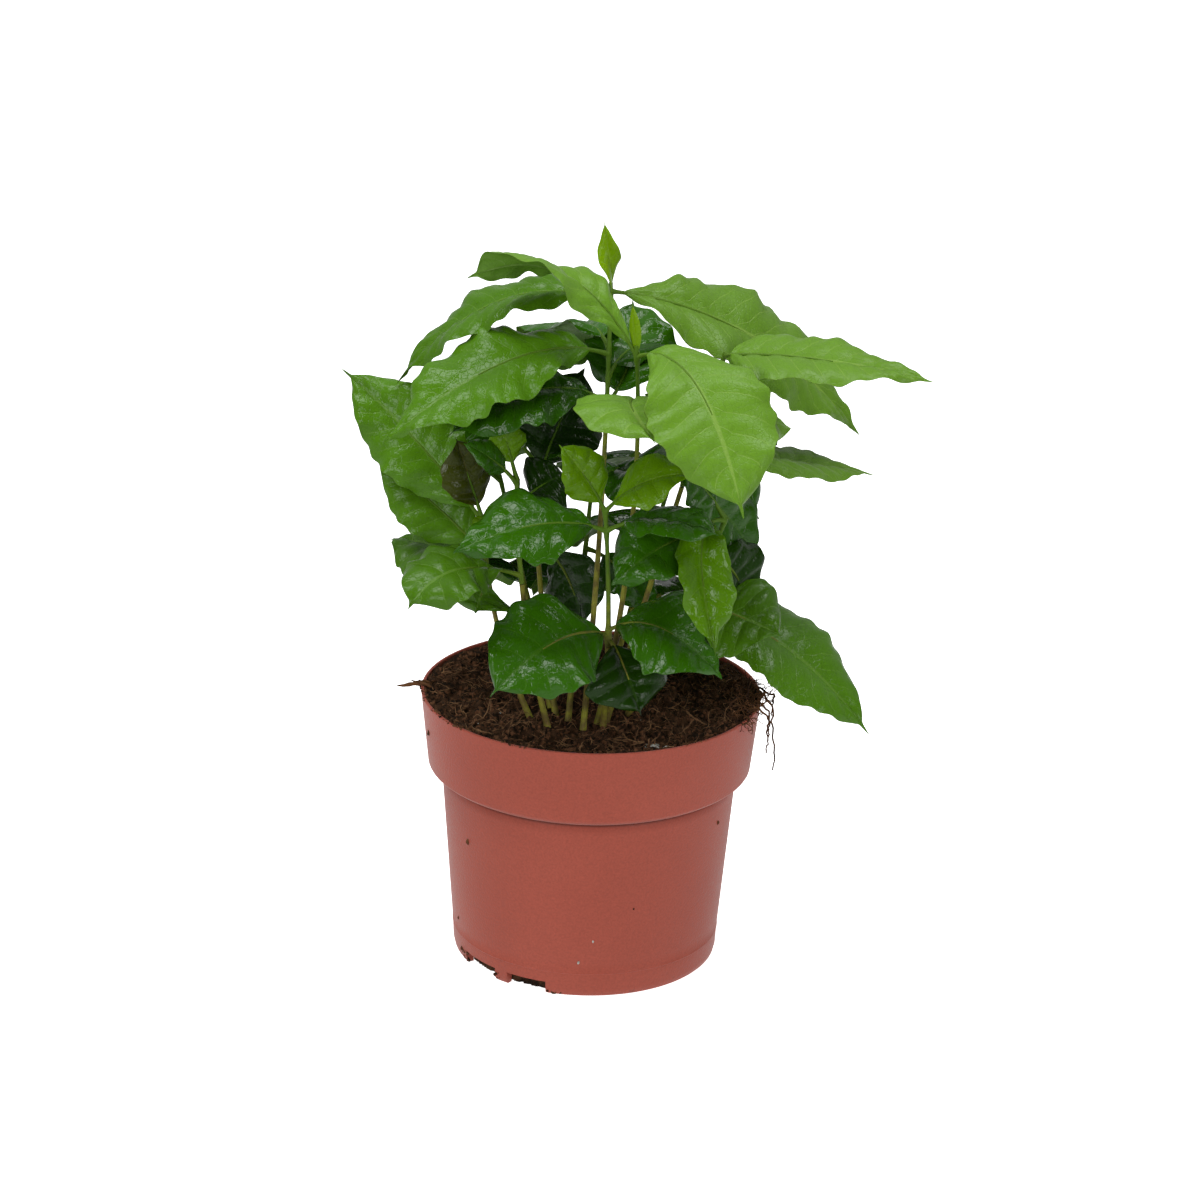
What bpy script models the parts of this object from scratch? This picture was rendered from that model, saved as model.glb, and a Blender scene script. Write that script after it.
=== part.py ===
# A young potted coffee plant: a clump of seedlings in a round plastic nursery pot.
#
# Every size below is in millimetres; MM turns them into Blender's metres.
# The frame: X right, Y away from the front, Z up, origin under the middle of the pot.
#
# Each seedling is two objects: the bare lower stem, from a flat cut at the soil to just under its
# lowest leaf, and the leafy top, where the stem goes on and carries its leaves.

from collections import namedtuple

import bmesh
import bpy
import numpy as np

MM = 0.001
GAP = 0.3                     # clear space kept between neighbouring pieces

# pot: radius and height of its outer profile
POT_HEIGHT = 97.0
LIP_RADIUS = 60.0
BAND_RADIUS = 57.2            # bottom edge of the rim band
BAND_BOTTOM = 71.0
SHOULDER_RADIUS = 52.3        # where the curve under the band meets the body
SHOULDER_HEIGHT = 67.6
SHOULDER_BULGE = 1.6
SEAM_RADIUS = 47.6            # thin mould line low on the body
SEAM_HEIGHT = 9.0
FOOT_RADIUS = 46.3
FOOT_ROUNDING = (47.3, 2.5)   # radius and height where the rounded foot ends
FOOT_WALL = 2.0               # thickness of the foot ring
POT_WALL = 1.2
FLOOR_BOTTOM = 5.2            # the floor is raised above the foot ring
FLOOR_TOP = 6.6
BOSS_RADIUS = 14.0            # moulding boss, level with the foot
POT_SIDES = 48

# drain notches through the foot ring, each under a slot in the floor: start and end angle from
# the front, in degrees
NOTCHES = ((-62.0, -41.0), (-34.5, -16.0), (118.0, 139.0), (145.5, 164.0))
NOTCH_HEIGHT = 4.6
NOTCH_INNER_RADIUS = 39.0
SLOT_INSET = 1.0              # the slot stays this far inside its notch
SLOT_INSET_ANGLE = 2.0

# potting soil
SOIL_LEVEL = 93.7             # flat middle, where the seedlings stand
SOIL_EDGE_LEVEL = 95.2
SOIL_FLAT_RADIUS = 45.0

# stems and leaf stalks
STEM_FOOT = 94.0              # the flat cut of every stem
STEM_RADIUS = 1.35
STEM_TIP_RADIUS = 0.85
STEM_SIDES = 8
STEM_STEP = 14.0              # height between the rings of a stem
BARE_BELOW = 3.0              # the bare stem ends this far under its lowest leaf
PETIOLE_RADIUS = 0.8
PETIOLE_TAPER = (1.0, 0.9, 0.6)
PETIOLE_SINK = 0.16           # share of the blade that the stalk runs into
PETIOLE_SIDES = 4

# leaf blades; shares are of the blade's length, counted from its base
LEAF_THICKNESS = 0.014        # of the leaf's length, at the midrib
SMALL_LEAF = 42.0             # shorter leaves get fewer faces
BLADE_FULLNESS = 0.85         # below 1 fills out the pointed oval
BLADE_END = 0.94              # share at which only the drip tip is left
DRIP_WIDTH = 0.10             # of the blade's width
DRIP_LENGTH = 0.22
DRIP_POINT = 0.75
MARGIN_DROOP = 0.25           # of the half width
WAVE_LENGTH = 27.0            # of the undulating leaf margins
WAVE_HEIGHT = 0.075           # of the leaf's width
WAVE_REACH = 1.7              # how soon the waves die away towards the midrib
WAVE_FADE = 0.12              # share over which they die away at each end
FAR_SIDE_PHASE = 2.4          # the two margins wave out of step
PHASE_STEP = 1.3              # turns the waves from one leaf to the next
MIDRIB_POINTS = 121

# base colours (linear) and roughness of each material
TERRACOTTA = ((0.40, 0.092, 0.063), 0.5)
PEAT = ((0.028, 0.014, 0.009), 0.95)
STEM_GREEN = ((0.20, 0.24, 0.05), 0.55)
LEAF_GREEN = ((0.075, 0.22, 0.02), 0.4)

# at: height of the leaf's root on the stem; tip: from the root to the leaf's tip
# arch: rise of the midrib over a straight line; wide: the blade's full width
# roll: the blade's turn about its midrib, and twist: how much more it turns by its tip, in degrees
# peak: where along the blade it is widest; fold: how far its halves fold up, in degrees
# petiole: length of the leaf stalk; lean: how early the midrib arches; side: its sideways bow
# wave: how strongly the margins wave, 1 as usual
Leaf = namedtuple("Leaf", "at tip arch wide roll peak twist fold petiole lean side wave",
                  defaults=(0.0, 0.45, 0.0, 12.0, 7.0, 0.42, 0.0, 1.0))

# foot: where the stem leaves the soil; top: its tip; bow: how far its middle stands out
Seedling = namedtuple("Seedling", "foot top bow leaves")

SEEDLINGS = {
    "centre": Seedling((-2.4, -31), (2.8, -3, 246), (1.5, 0), (
        Leaf(242, (-3, -1, 26), 1, 9, -85, petiole=0, wave=0, fold=20, side=2),
        Leaf(239, (-73, 10, -34), 16, 28, -16, lean=0.55, wave=0.8),
        Leaf(243, (89, 26, -57), 13, 44, 34, petiole=4, peak=0.5, lean=0.6, wave=0.55),
        Leaf(222, (-75, -27, -26), 12, 36, -26),
        Leaf(224, (-25, 70, -34), 14, 38),
        Leaf(206, (-54, -18, -9), 10, 34, -24, wave=0.8),
        Leaf(214, (20, 54, -8), 8, 32),
        Leaf(205, (8, 41, 26), 0, 34, side=-4),
    )),
    "middle": Seedling((2.4, -25.1), (11.9, -24, 230), (5, 4), (
        Leaf(227, (-2, 2, 17), 1, 5, -80, petiole=0, wave=0),
        Leaf(226, (-58, 12, 22), 17, 30, -58, peak=0.56, twist=130, petiole=4, wave=0.8),
        Leaf(226, (36, -48, -40), 15, 45, 13, peak=0.5, petiole=4, side=4, wave=0.5),
        Leaf(210, (6, -38, -3), 5, 40, side=-5, petiole=3, wave=0.6),
    )),
    "front": Seedling((4.5, -26.8), (3, -38, 177), (1.5, -2), (
        Leaf(176, (-16, -6, 25), 2, 18, -75, petiole=4),
        Leaf(176, (31, -10, 17), 5, 21, 40, petiole=4),
        Leaf(169, (-51, -16, -4), 6, 34, -26, petiole=5, wave=0.8),
        Leaf(169, (38, -14, 4), 5, 30, 5, wave=0.6),
        Leaf(130, (-39, -30, -12), 8, 42, -30, petiole=3, wave=0.8),
        Leaf(132, (39, -12, -12), 9, 39, 22, petiole=3, wave=0.7),
        Leaf(129, (12, -13, -23), 3, 37, petiole=3, peak=0.5, wave=0.5),
    )),
    "right": Seedling((5.5, -23), (42, -15, 226), (0, 0), (
        Leaf(225, (70, -15, -3), 3, 34, 12, peak=0.32, petiole=2, wave=0.5),
        Leaf(222, (-18, 30, -30), 6, 30),
        Leaf(192, (65, 43, -21), 1, 25, 14, wave=0.4),
        Leaf(202, (33, 56, -19), 4, 26, 50),
        Leaf(182, (26, 20, -34), 3, 34, 75),
    )),
    "left": Seedling((-20.1, -25), (-38.5, -12, 163), (-4, 0), (
        Leaf(162, (-10, -4, 32), 0, 20, -80),
        Leaf(162, (-51, 26, 46), 5, 32, -58, side=2),
        Leaf(150, (-40, 18, 29), 3, 27, -50),
        Leaf(136, (-5, -15, 0), 6, 29, -26),
        Leaf(140, (-36, 24, 8), 6, 36, -10),
    )),
    "left_inner": Seedling((-14.5, -30.1), (-27, -23, 182), (-3, 0), (
        Leaf(166, (-16, -10, 1), 2, 14, -10),
        Leaf(148, (-37, -26, -4), 9, 34, -14, peak=0.58, lean=0.7),
        Leaf(181, (-6, -1, 22), 0, 14, -80),
        Leaf(180, (-18, -13, 18), 2, 12, -60),
        Leaf(171, (17, 8, 10), 3, 24, 30),
    )),
    "left_back": Seedling((-12, -18.8), (-22, 12, 185), (-2, 0), (
        Leaf(151, (18, -17, -29), 4, 31, 78, side=3),
        Leaf(170, (16, 13, 39), 2, 34, 70),
        Leaf(178, (-43, 22, 14), 6, 36, -55),
    )),
    "back": Seedling((-7.7, -24), (-1, 14, 178), (0, 4), (
        Leaf(171, (28, -18, 5), 4, 38, 10),
        Leaf(170, (-6, -18, 13), 4, 26, -10),
        Leaf(156, (0, 50, -24), 4, 38, -10),
        Leaf(148, (24, -12, -18), 4, 26, 10),
        Leaf(176, (8, 56, -26), 6, 38),
        Leaf(130, (-2, 76, -26), 8, 40),
    )),
    "right_inner": Seedling((13, -16), (44, -26, 171), (2, 0), (
        Leaf(170, (-2, -34, -38), 9, 24, -8, fold=35, side=-7, wave=1.3),
        Leaf(164, (-36, -25, -10), 6, 34, -20),
        Leaf(170, (-19, -8, 21), 4, 20, -50),
        Leaf(152, (16, 8, -15), 7, 34, 60),
        Leaf(138, (32, -16, -5), 2, 36, 30, wave=0.7),
    )),
    "right_back": Seedling((4, -10), (30, 30, 180), (0, 4), (
        Leaf(129, (84, -20, -43), 15, 40, 20, peak=0.56, lean=0.56, wave=0.3),
        Leaf(178, (12, 52, -20), 8, 38),
        Leaf(174, (30, 0, -22), 8, 36, 30),
        Leaf(150, (24, 54, -30), 6, 40),
        Leaf(152, (40, 24, -34), 6, 36, 20),
        Leaf(125, (46, 50, -22), 8, 40),
    )),
    "far_left": Seedling((-14, -12), (-36, 28, 172), (0, 4), (
        Leaf(170, (-13, 43, -16), 8, 38),
        Leaf(165, (-36, 14, -13), 8, 36, -20),
        Leaf(147, (-13, 52, -28), 6, 36),
        Leaf(145, (-31, 2, -14), 6, 36, -20),
        Leaf(128, (-14, 64, -18), 10, 40),
    )),
}

UP = np.array([0.0, 0.0, 1.0])


def clear_scene():
    for obj in list(bpy.data.objects):
        bpy.data.objects.remove(obj)


def material(name, colour, roughness):
    made = bpy.data.materials.new(name)
    made.use_nodes = True
    shader = made.node_tree.nodes["Principled BSDF"]
    shader.inputs["Base Color"].default_value = (*colour, 1.0)
    shader.inputs["Roughness"].default_value = roughness
    shader.inputs["Metallic"].default_value = 0.0
    return made


def unit(vectors):
    return vectors / np.maximum(np.linalg.norm(vectors, axis=-1, keepdims=True), 1e-9)


def loft(rings, tail=None, head=None):
    """A closed body through rings of points, ended by a point or by a flat cap."""
    form = bmesh.new()
    loops = [[form.verts.new(point * MM) for point in ring] for ring in rings]
    sides = len(loops[0])
    for lower, upper in zip(loops[:-1], loops[1:]):
        for i in range(sides):
            j = (i + 1) % sides
            form.faces.new((lower[i], lower[j], upper[j], upper[i]))
    for loop, end in ((loops[0], tail), (loops[-1], head)):
        if end is None:
            form.faces.new(loop)
            continue
        apex = form.verts.new(end * MM)
        for i in range(sides):
            form.faces.new((loop[i], loop[(i + 1) % sides], apex))
    bmesh.ops.recalc_face_normals(form, faces=form.faces)
    return form


def add_object(name, form, finish, sharp_angle=40.0):
    mesh = bpy.data.meshes.new(name)
    form.to_mesh(mesh)
    form.free()
    mesh.materials.append(finish)
    mesh.shade_smooth()
    mesh.set_sharp_from_angle(angle=np.radians(sharp_angle))
    obj = bpy.data.objects.new(name, mesh)
    bpy.context.scene.collection.objects.link(obj)
    return obj


def gather(name, objects):
    """Moves objects into a collection of their own, as a Boolean's operands."""
    collection = bpy.data.collections.new(name)
    bpy.context.scene.collection.children.link(collection)
    for obj in objects:
        bpy.context.scene.collection.objects.unlink(obj)
        collection.objects.link(obj)
    return collection


def boolean(obj, operation, collection, solver="EXACT"):
    """Joins or cuts obj with everything in the collection, which is then removed."""
    step = obj.modifiers.new(operation.lower(), "BOOLEAN")
    step.operand_type = "COLLECTION"
    step.collection = collection
    step.operation = operation
    step.solver = solver
    graph = bpy.context.evaluated_depsgraph_get()
    result = bpy.data.meshes.new_from_object(obj.evaluated_get(graph))
    obj.modifiers.remove(step)
    obj.data = result
    for operand in list(collection.objects):
        bpy.data.objects.remove(operand)
    bpy.data.collections.remove(collection)


# --- pot and soil ---------------------------------------------------------------------------

def shoulder(inset, steps=4):
    """The rounded step under the rim band, from the band in to the body."""
    points = []
    for share in np.linspace(0.0, 1.0, steps + 1):
        radius = BAND_RADIUS - (BAND_RADIUS - SHOULDER_RADIUS) * share ** SHOULDER_BULGE
        height = BAND_BOTTOM - (BAND_BOTTOM - SHOULDER_HEIGHT) * share
        points.append((radius - inset, height))
    return points


def body_radius(height):
    """Outer radius of the tapered body between the seam and the shoulder."""
    share = (height - SEAM_HEIGHT) / (SHOULDER_HEIGHT - SEAM_HEIGHT)
    return SEAM_RADIUS + (SHOULDER_RADIUS - SEAM_RADIUS) * share


def band_radius(height):
    """Outer radius of the rim band, which widens towards the lip."""
    share = (height - BAND_BOTTOM) / (POT_HEIGHT - BAND_BOTTOM)
    return BAND_RADIUS + (LIP_RADIUS - BAND_RADIUS) * share


def circle(sides):
    """Unit circle in the level plane, as points."""
    turns = np.linspace(0.0, 2.0 * np.pi, sides, endpoint=False)
    return np.stack([np.cos(turns), np.sin(turns), np.zeros(sides)], axis=1)


def turned(profile, tail=None, head=None):
    """A body turned about the pot's axis, closed by flat caps or by faces round a middle point."""
    rings = [circle(POT_SIDES) * radius + UP * height for radius, height in profile]
    ends = [None if end is None else UP * end for end in (tail, head)]
    return loft(rings, *ends)


def ring_sector(start, end, inner, outer, bottom, top):
    """A wedge of a ring, for a cut; its angles run from the front, positive to the right."""
    turns = np.radians(np.linspace(start, end, 4))
    outward = [np.array([np.sin(turn), -np.cos(turn), 0.0]) for turn in turns]
    rings = [[way * inner + UP * bottom, way * outer + UP * bottom,
              way * outer + UP * top, way * inner + UP * top] for way in outward]
    return loft(rings)


def make_pot(finish):
    foot_inner = FOOT_RADIUS - FOOT_WALL
    under = [(BOSS_RADIUS, 0.0), (BOSS_RADIUS, FLOOR_BOTTOM), (foot_inner, FLOOR_BOTTOM), (foot_inner, 0.0)]
    outer = [(FOOT_RADIUS, 0.0), FOOT_ROUNDING, (SEAM_RADIUS, SEAM_HEIGHT)]
    outer += shoulder(0.0)[::-1]
    outer += [(LIP_RADIUS, POT_HEIGHT)]
    inner = [(LIP_RADIUS - POT_WALL, POT_HEIGHT)]
    inner += shoulder(POT_WALL)
    inner += [(body_radius(FLOOR_TOP) - POT_WALL, FLOOR_TOP)]
    pot = add_object("pot", turned(under + outer + inner, tail=0.0, head=FLOOR_TOP), finish)
    cutters = []
    for i, (start, end) in enumerate(NOTCHES):
        notch = ring_sector(start, end, NOTCH_INNER_RADIUS, LIP_RADIUS, -1.0, NOTCH_HEIGHT)
        slot = ring_sector(start + SLOT_INSET_ANGLE, end - SLOT_INSET_ANGLE,
                           NOTCH_INNER_RADIUS + SLOT_INSET, foot_inner - SLOT_INSET,
                           NOTCH_HEIGHT - 1.0, FLOOR_TOP + 1.0)
        cutters.append(add_object("notch_%d" % i, notch, finish))
        cutters.append(add_object("slot_%d" % i, slot, finish))
    boolean(pot, "DIFFERENCE", gather("notches", cutters))


def make_soil(finish):
    """One solid that fills the pot and lies against its wall and floor all round."""
    inset = POT_WALL + GAP
    bottom = FLOOR_TOP + GAP
    profile = [(body_radius(bottom) - inset, bottom)]
    profile += shoulder(inset)[::-1]
    profile += [(band_radius(SOIL_EDGE_LEVEL) - inset, SOIL_EDGE_LEVEL), (SOIL_FLAT_RADIUS, SOIL_LEVEL)]
    add_object("soil", turned(profile), finish)


# --- seedlings ------------------------------------------------------------------------------

def stem_point(seedling, height):
    foot = np.array([*seedling.foot, STEM_FOOT])
    share = (height - STEM_FOOT) / (seedling.top[2] - STEM_FOOT)
    bow = np.array([*seedling.bow, 0.0]) * 4.0 * share * (1.0 - share)
    return foot + (np.array(seedling.top) - foot) * share + bow


def stem_form(seedling, low, high):
    """A tapering length of stem between two heights, with level ends."""
    rings = []
    steps = max(1, round((high - low) / STEM_STEP))
    for height in np.linspace(low, high, steps + 1):
        share = (height - STEM_FOOT) / (seedling.top[2] - STEM_FOOT)
        radius = STEM_RADIUS + (STEM_TIP_RADIUS - STEM_RADIUS) * share
        rings.append(stem_point(seedling, height) + circle(STEM_SIDES) * radius)
    return loft(rings)


def half_width(share, peak):
    """Half the blade's width, as a share of its full width, along the blade from 0 to 1."""
    power = np.log(0.5) / np.log(peak / BLADE_END)
    inside = np.clip(share / BLADE_END, 0.0, 1.0)
    body = np.sin(np.pi * inside ** power) ** BLADE_FULLNESS * (share < BLADE_END)
    drip = DRIP_WIDTH * np.clip((1.0 - share) / DRIP_LENGTH, 0.0, 1.0) ** DRIP_POINT
    return 0.5 * np.maximum(body, np.where(share > 0.5, drip, 0.0))


def midrib(root, leaf):
    """Points, directions and running length along a leaf's midrib, from the stem to its tip."""
    reach = np.array(leaf.tip, dtype=float)
    sideways = unit(np.cross(UP, reach))
    knee = root + reach * leaf.lean + UP * 2.0 * leaf.arch + sideways * 2.0 * leaf.side
    end = root + reach
    t = np.linspace(0.0, 1.0, MIDRIB_POINTS)[:, None]
    points = (1 - t) ** 2 * root + 2 * t * (1 - t) * knee + t ** 2 * end
    ways = unit((1 - t) * (knee - root) + t * (end - knee))
    steps = np.linalg.norm(np.diff(points, axis=0), axis=1)
    return points, ways, np.concatenate([[0.0], np.cumsum(steps)])


def along(line, run, places):
    """Values of a line at given places on its running length."""
    return np.stack([np.interp(places, run, line[:, axis]) for axis in range(3)], axis=1)


def blade_grid(root, leaf, phase, shares, across):
    """Surface points and normals of a blade: rows along the midrib, columns across it."""
    points, ways, run = midrib(root, leaf)
    length = run[-1]
    places = leaf.petiole + shares * (length - leaf.petiole)
    centre = along(points, run, places)
    way = unit(along(ways, run, places))
    level = unit(np.cross(UP, way))
    face = unit(np.cross(way, level))
    roll = np.radians(leaf.roll + leaf.twist * shares)[:, None]
    out = level * np.cos(roll) + face * np.sin(roll)
    normal = face * np.cos(roll) - level * np.sin(roll)
    width = half_width(shares, leaf.peak) * leaf.wide
    fade = np.clip(np.minimum(shares, 1.0 - shares) / WAVE_FADE, 0.0, 1.0)
    waves = 2.0 * np.pi * shares * length / WAVE_LENGTH + phase
    height = WAVE_HEIGHT * leaf.wide * leaf.wave * fade
    fold = np.radians(leaf.fold)
    columns = []
    for v in across:
        side = abs(v)
        swell = np.sin(waves + (0.0 if v >= 0 else FAR_SIDE_PHASE)) * side ** WAVE_REACH
        lift = width * (side * np.sin(fold) - MARGIN_DROOP * side * side) + swell * height
        spread = v * width * np.cos(fold)
        columns.append(centre + out * spread[:, None] + normal * lift[:, None])
    return np.stack(columns, axis=1), normal, length


def blade_form(root, leaf, phase):
    """The blade as a thin lens: two parallel skins that meet at its margins and ends."""
    small = np.linalg.norm(leaf.tip) < SMALL_LEAF
    across = (-1.0, 0.0, 1.0) if small else (-1.0, -0.5, 0.0, 0.5, 1.0)
    shares = np.linspace(0.0, 1.0, 7 if small else 9)
    grid, normal, length = blade_grid(root, leaf, phase, shares, across)
    half = 0.5 * LEAF_THICKNESS * length
    last_row = len(shares) - 1
    last_column = len(across) - 1
    form = bmesh.new()
    rim = {}
    for side in (1, -1):
        skin = {}
        for i, j in np.ndindex(len(shares), len(across)):
            if 0 < i < last_row and 0 < j < last_column:
                skin[i, j] = form.verts.new((grid[i, j] + normal[i] * half * side) * MM)
                continue
            place = (i, j) if 0 < i < last_row else (i, 0)
            if place not in rim:
                rim[place] = form.verts.new(grid[i, j] * MM)
            skin[i, j] = rim[place]
        for i, j in np.ndindex(last_row, last_column):
            a, b, c, d = skin[i, j], skin[i, j + 1], skin[i + 1, j + 1], skin[i + 1, j]
            for corners in ((a, b, c), (a, c, d)):
                if len(set(corners)) == 3:
                    form.faces.new(corners[::-side])
    bmesh.ops.recalc_face_normals(form, faces=form.faces)
    return form


def petiole_form(root, leaf):
    """The leaf stalk, from inside the stem to inside the blade."""
    points, ways, run = midrib(root, leaf)
    end = leaf.petiole + PETIOLE_SINK * (run[-1] - leaf.petiole)
    places = np.linspace(0.0, end, len(PETIOLE_TAPER))
    centre = along(points, run, places)
    way = unit(along(ways, run, places))
    level = unit(np.cross(UP, way))
    face = np.cross(way, level)
    rings = []
    for middle, a, b, taper in zip(centre, level, face, PETIOLE_TAPER):
        spread = [a * x + b * y for x, y, z in circle(PETIOLE_SIDES)]
        rings.append(middle + np.array(spread) * PETIOLE_RADIUS * taper)
    return loft(rings)


def make_seedling(name, seedling, first_leaf, wood, green):
    """The bare stem, and the leafy top fused round the rest of the stem.

    The thin blades cross at shallow angles, which the exact solver leaves open at the seams, so
    the top is fused by the manifold solver.
    """
    cut = min(leaf.at for leaf in seedling.leaves) - BARE_BELOW
    add_object("stem_" + name, stem_form(seedling, STEM_FOOT, cut - GAP / 2), wood)
    top = add_object("foliage_" + name, stem_form(seedling, cut + GAP / 2, seedling.top[2]), green)
    parts = []
    for number, leaf in enumerate(seedling.leaves):
        root = stem_point(seedling, leaf.at)
        phase = (first_leaf + number) * PHASE_STEP
        parts.append(add_object("blade_%d" % number, blade_form(root, leaf, phase), green))
        if leaf.petiole > 0:
            parts.append(add_object("petiole_%d" % number, petiole_form(root, leaf), green))
    boolean(top, "UNION", gather("parts_" + name, parts), solver="MANIFOLD")


def main():
    clear_scene()
    make_pot(material("terracotta_plastic", *TERRACOTTA))
    make_soil(material("peat_soil", *PEAT))
    wood = material("green_stem", *STEM_GREEN)
    green = material("leaf_green", *LEAF_GREEN)
    first_leaf = 0
    for name, seedling in SEEDLINGS.items():
        make_seedling(name, seedling, first_leaf, wood, green)
        first_leaf += len(seedling.leaves)


main()
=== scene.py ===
import math
from collections import namedtuple

import bmesh
import bpy
import numpy as np
from mathutils import Matrix, Vector


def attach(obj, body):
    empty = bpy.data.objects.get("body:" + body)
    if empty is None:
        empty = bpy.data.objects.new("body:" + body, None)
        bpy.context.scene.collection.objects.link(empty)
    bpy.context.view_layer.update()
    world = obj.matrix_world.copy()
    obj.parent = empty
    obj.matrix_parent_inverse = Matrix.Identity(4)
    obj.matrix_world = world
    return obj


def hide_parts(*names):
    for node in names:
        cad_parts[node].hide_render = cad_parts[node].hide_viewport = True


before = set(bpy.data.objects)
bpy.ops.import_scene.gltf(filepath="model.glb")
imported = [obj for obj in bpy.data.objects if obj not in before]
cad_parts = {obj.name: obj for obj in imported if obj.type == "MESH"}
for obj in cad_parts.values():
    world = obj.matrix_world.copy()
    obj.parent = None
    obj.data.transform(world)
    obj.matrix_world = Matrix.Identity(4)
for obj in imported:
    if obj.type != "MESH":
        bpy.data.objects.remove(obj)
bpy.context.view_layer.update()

mm = 0.001
up = np.array([0.0, 0.0, 1.0])
scene = bpy.context.scene
dice = np.random.default_rng(4107)
print("frame loaded")


# small helpers for meshes and node trees

def unit(vectors):
    return vectors / np.maximum(np.linalg.norm(vectors, axis=-1, keepdims=True), 1e-9)


def meshObject(name, points, faces=(), edges=()):
    mesh = bpy.data.meshes.new(name)
    mesh.from_pydata([tuple(p) for p in points], list(edges), list(faces))
    mesh.update()
    made = bpy.data.objects.new(name, mesh)
    scene.collection.objects.link(made)
    return made


def setFloats(obj, name, values):
    attribute = obj.data.attributes.new(name, "FLOAT", "POINT")
    attribute.data.foreach_set("value", np.asarray(values, dtype=np.float32))


class NodeDesk:
    # puts nodes in a tree; a value is a number, a tuple, a socket or a node, whose first output is used
    def __init__(self, tree):
        self.tree = tree

    def feed(self, socket, value):
        if isinstance(value, bpy.types.NodeSocket):
            self.tree.links.new(value, socket)
        elif isinstance(value, bpy.types.Node):
            self.tree.links.new(value.outputs[0], socket)
        elif socket.type == "RGBA":
            socket.default_value = (*value, 1.0)
        else:
            socket.default_value = value

    def give(self, node, values):
        # values by the input's name or number
        for key, value in values.items():
            self.feed(node.inputs[key], value)
        return node

    def node(self, kind, inputs=None, **settings):
        made = self.tree.nodes.new(kind)
        for key, value in settings.items():
            setattr(made, key, value)
        return self.give(made, inputs or {})

    def math(self, operation, *values):
        return self.node("ShaderNodeMath", dict(enumerate(values)), operation=operation).outputs[0]

    def times(self, first, *others):
        for value in others:
            first = self.math("MULTIPLY", first, value)
        return first

    def plus(self, first, *others):
        for value in others:
            first = self.math("ADD", first, value)
        return first

    def minus(self, first, second):
        return self.math("SUBTRACT", first, second)

    def centred(self, value):
        return self.minus(value, 0.5)

    def scaled(self, vector, factor):
        return self.node("ShaderNodeVectorMath", {0: vector, "Scale": factor}, operation="SCALE").outputs[0]

    def ramp(self, value, low, high, newLow=0.0, newHigh=1.0, kind="SMOOTHSTEP"):
        limits = {"Value": value, "From Min": low, "From Max": high, "To Min": newLow, "To Max": newHigh}
        return self.node("ShaderNodeMapRange", limits, interpolation_type=kind, clamp=True).outputs[0]

    def mix(self, factor, first, second):
        return self.node("ShaderNodeMix", {0: factor, 6: first, 7: second}, data_type="RGBA").outputs[2]

    def inGeometry(self):
        return self.tree.bl_idname == "GeometryNodeTree"

    def place(self):
        if self.inGeometry():
            return self.node("GeometryNodeInputPosition").outputs[0]
        return self.node("ShaderNodeTexCoord").outputs["Object"]

    def read(self, name, kind="FLOAT"):
        # a named number of the mesh, in a geometry tree or in a material
        if self.inGeometry():
            return self.node("GeometryNodeInputNamedAttribute", {"Name": name}, data_type=kind).outputs[0]
        return self.node("ShaderNodeAttribute", attribute_name=name).outputs["Fac"]

    def split(self, vector):
        return self.node("ShaderNodeSeparateXYZ", {"Vector": vector}).outputs

    def noise(self, place, scale, detail=2.0):
        return self.node("ShaderNodeTexNoise", {"Vector": place, "Scale": scale, "Detail": detail}).outputs[0]

    def chance(self, kind, low, high, seed):
        # a random number or a random vector per point
        lowSlot, highSlot, output = {"FLOAT": (2, 3, 1), "FLOAT_VECTOR": (0, 1, 0)}[kind]
        given = {lowSlot: low, highSlot: high, "Seed": seed}
        return self.node("FunctionNodeRandomValue", given, data_type=kind).outputs[output]

    def store(self, geometry, name, value, kind="FLOAT"):
        given = {"Geometry": geometry, "Name": name, "Value": value}
        return self.node("GeometryNodeStoreNamedAttribute", given, data_type=kind, domain="POINT")

    def paint(self, geometry, material, selection=True):
        given = {"Geometry": geometry, "Material": material, "Selection": selection}
        return self.node("GeometryNodeSetMaterial", given)

    def move(self, geometry, offset):
        return self.node("GeometryNodeSetPosition", {"Geometry": geometry, "Offset": offset})

    def smooth(self, geometry):
        geometry = self.node("GeometryNodeSetShadeSmooth", {"Geometry": geometry})
        return self.node("GeometryNodeRealizeInstances", {"Geometry": geometry})


def newGroup(name, kind, inputs, outputs):
    # a node group with named sockets, each of a kind such as Float or Color
    tree = bpy.data.node_groups.new(name, kind)
    for way, sockets in (("INPUT", inputs), ("OUTPUT", outputs)):
        for label, socket in sockets.items():
            tree.interface.new_socket(name=label, in_out=way, socket_type="NodeSocket" + socket)
    given = tree.nodes.new("NodeGroupInput")
    result = tree.nodes.new("NodeGroupOutput")
    return NodeDesk(tree), given.outputs, result.inputs


def newMaterial(name):
    made = bpy.data.materials.new(name)
    made.use_nodes = True
    return made, NodeDesk(made.node_tree), made.node_tree.nodes["Principled BSDF"]


def runTree(obj, tree, values, name):
    # sets the tree's named inputs, evaluates it once and keeps the result as a plain mesh
    step = obj.modifiers.new("grow", "NODES")
    step.node_group = tree
    for item in tree.interface.items_tree:
        if item.in_out == "INPUT" and item.name in values:
            step[item.identifier] = values[item.name]
    bpy.context.view_layer.update()
    graph = bpy.context.evaluated_depsgraph_get()
    mesh = bpy.data.meshes.new_from_object(obj.evaluated_get(graph))
    mesh.name = name
    made = bpy.data.objects.new(name, mesh)
    scene.collection.objects.link(made)
    bpy.data.objects.remove(obj)
    return made


# camera, light and floor

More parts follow.
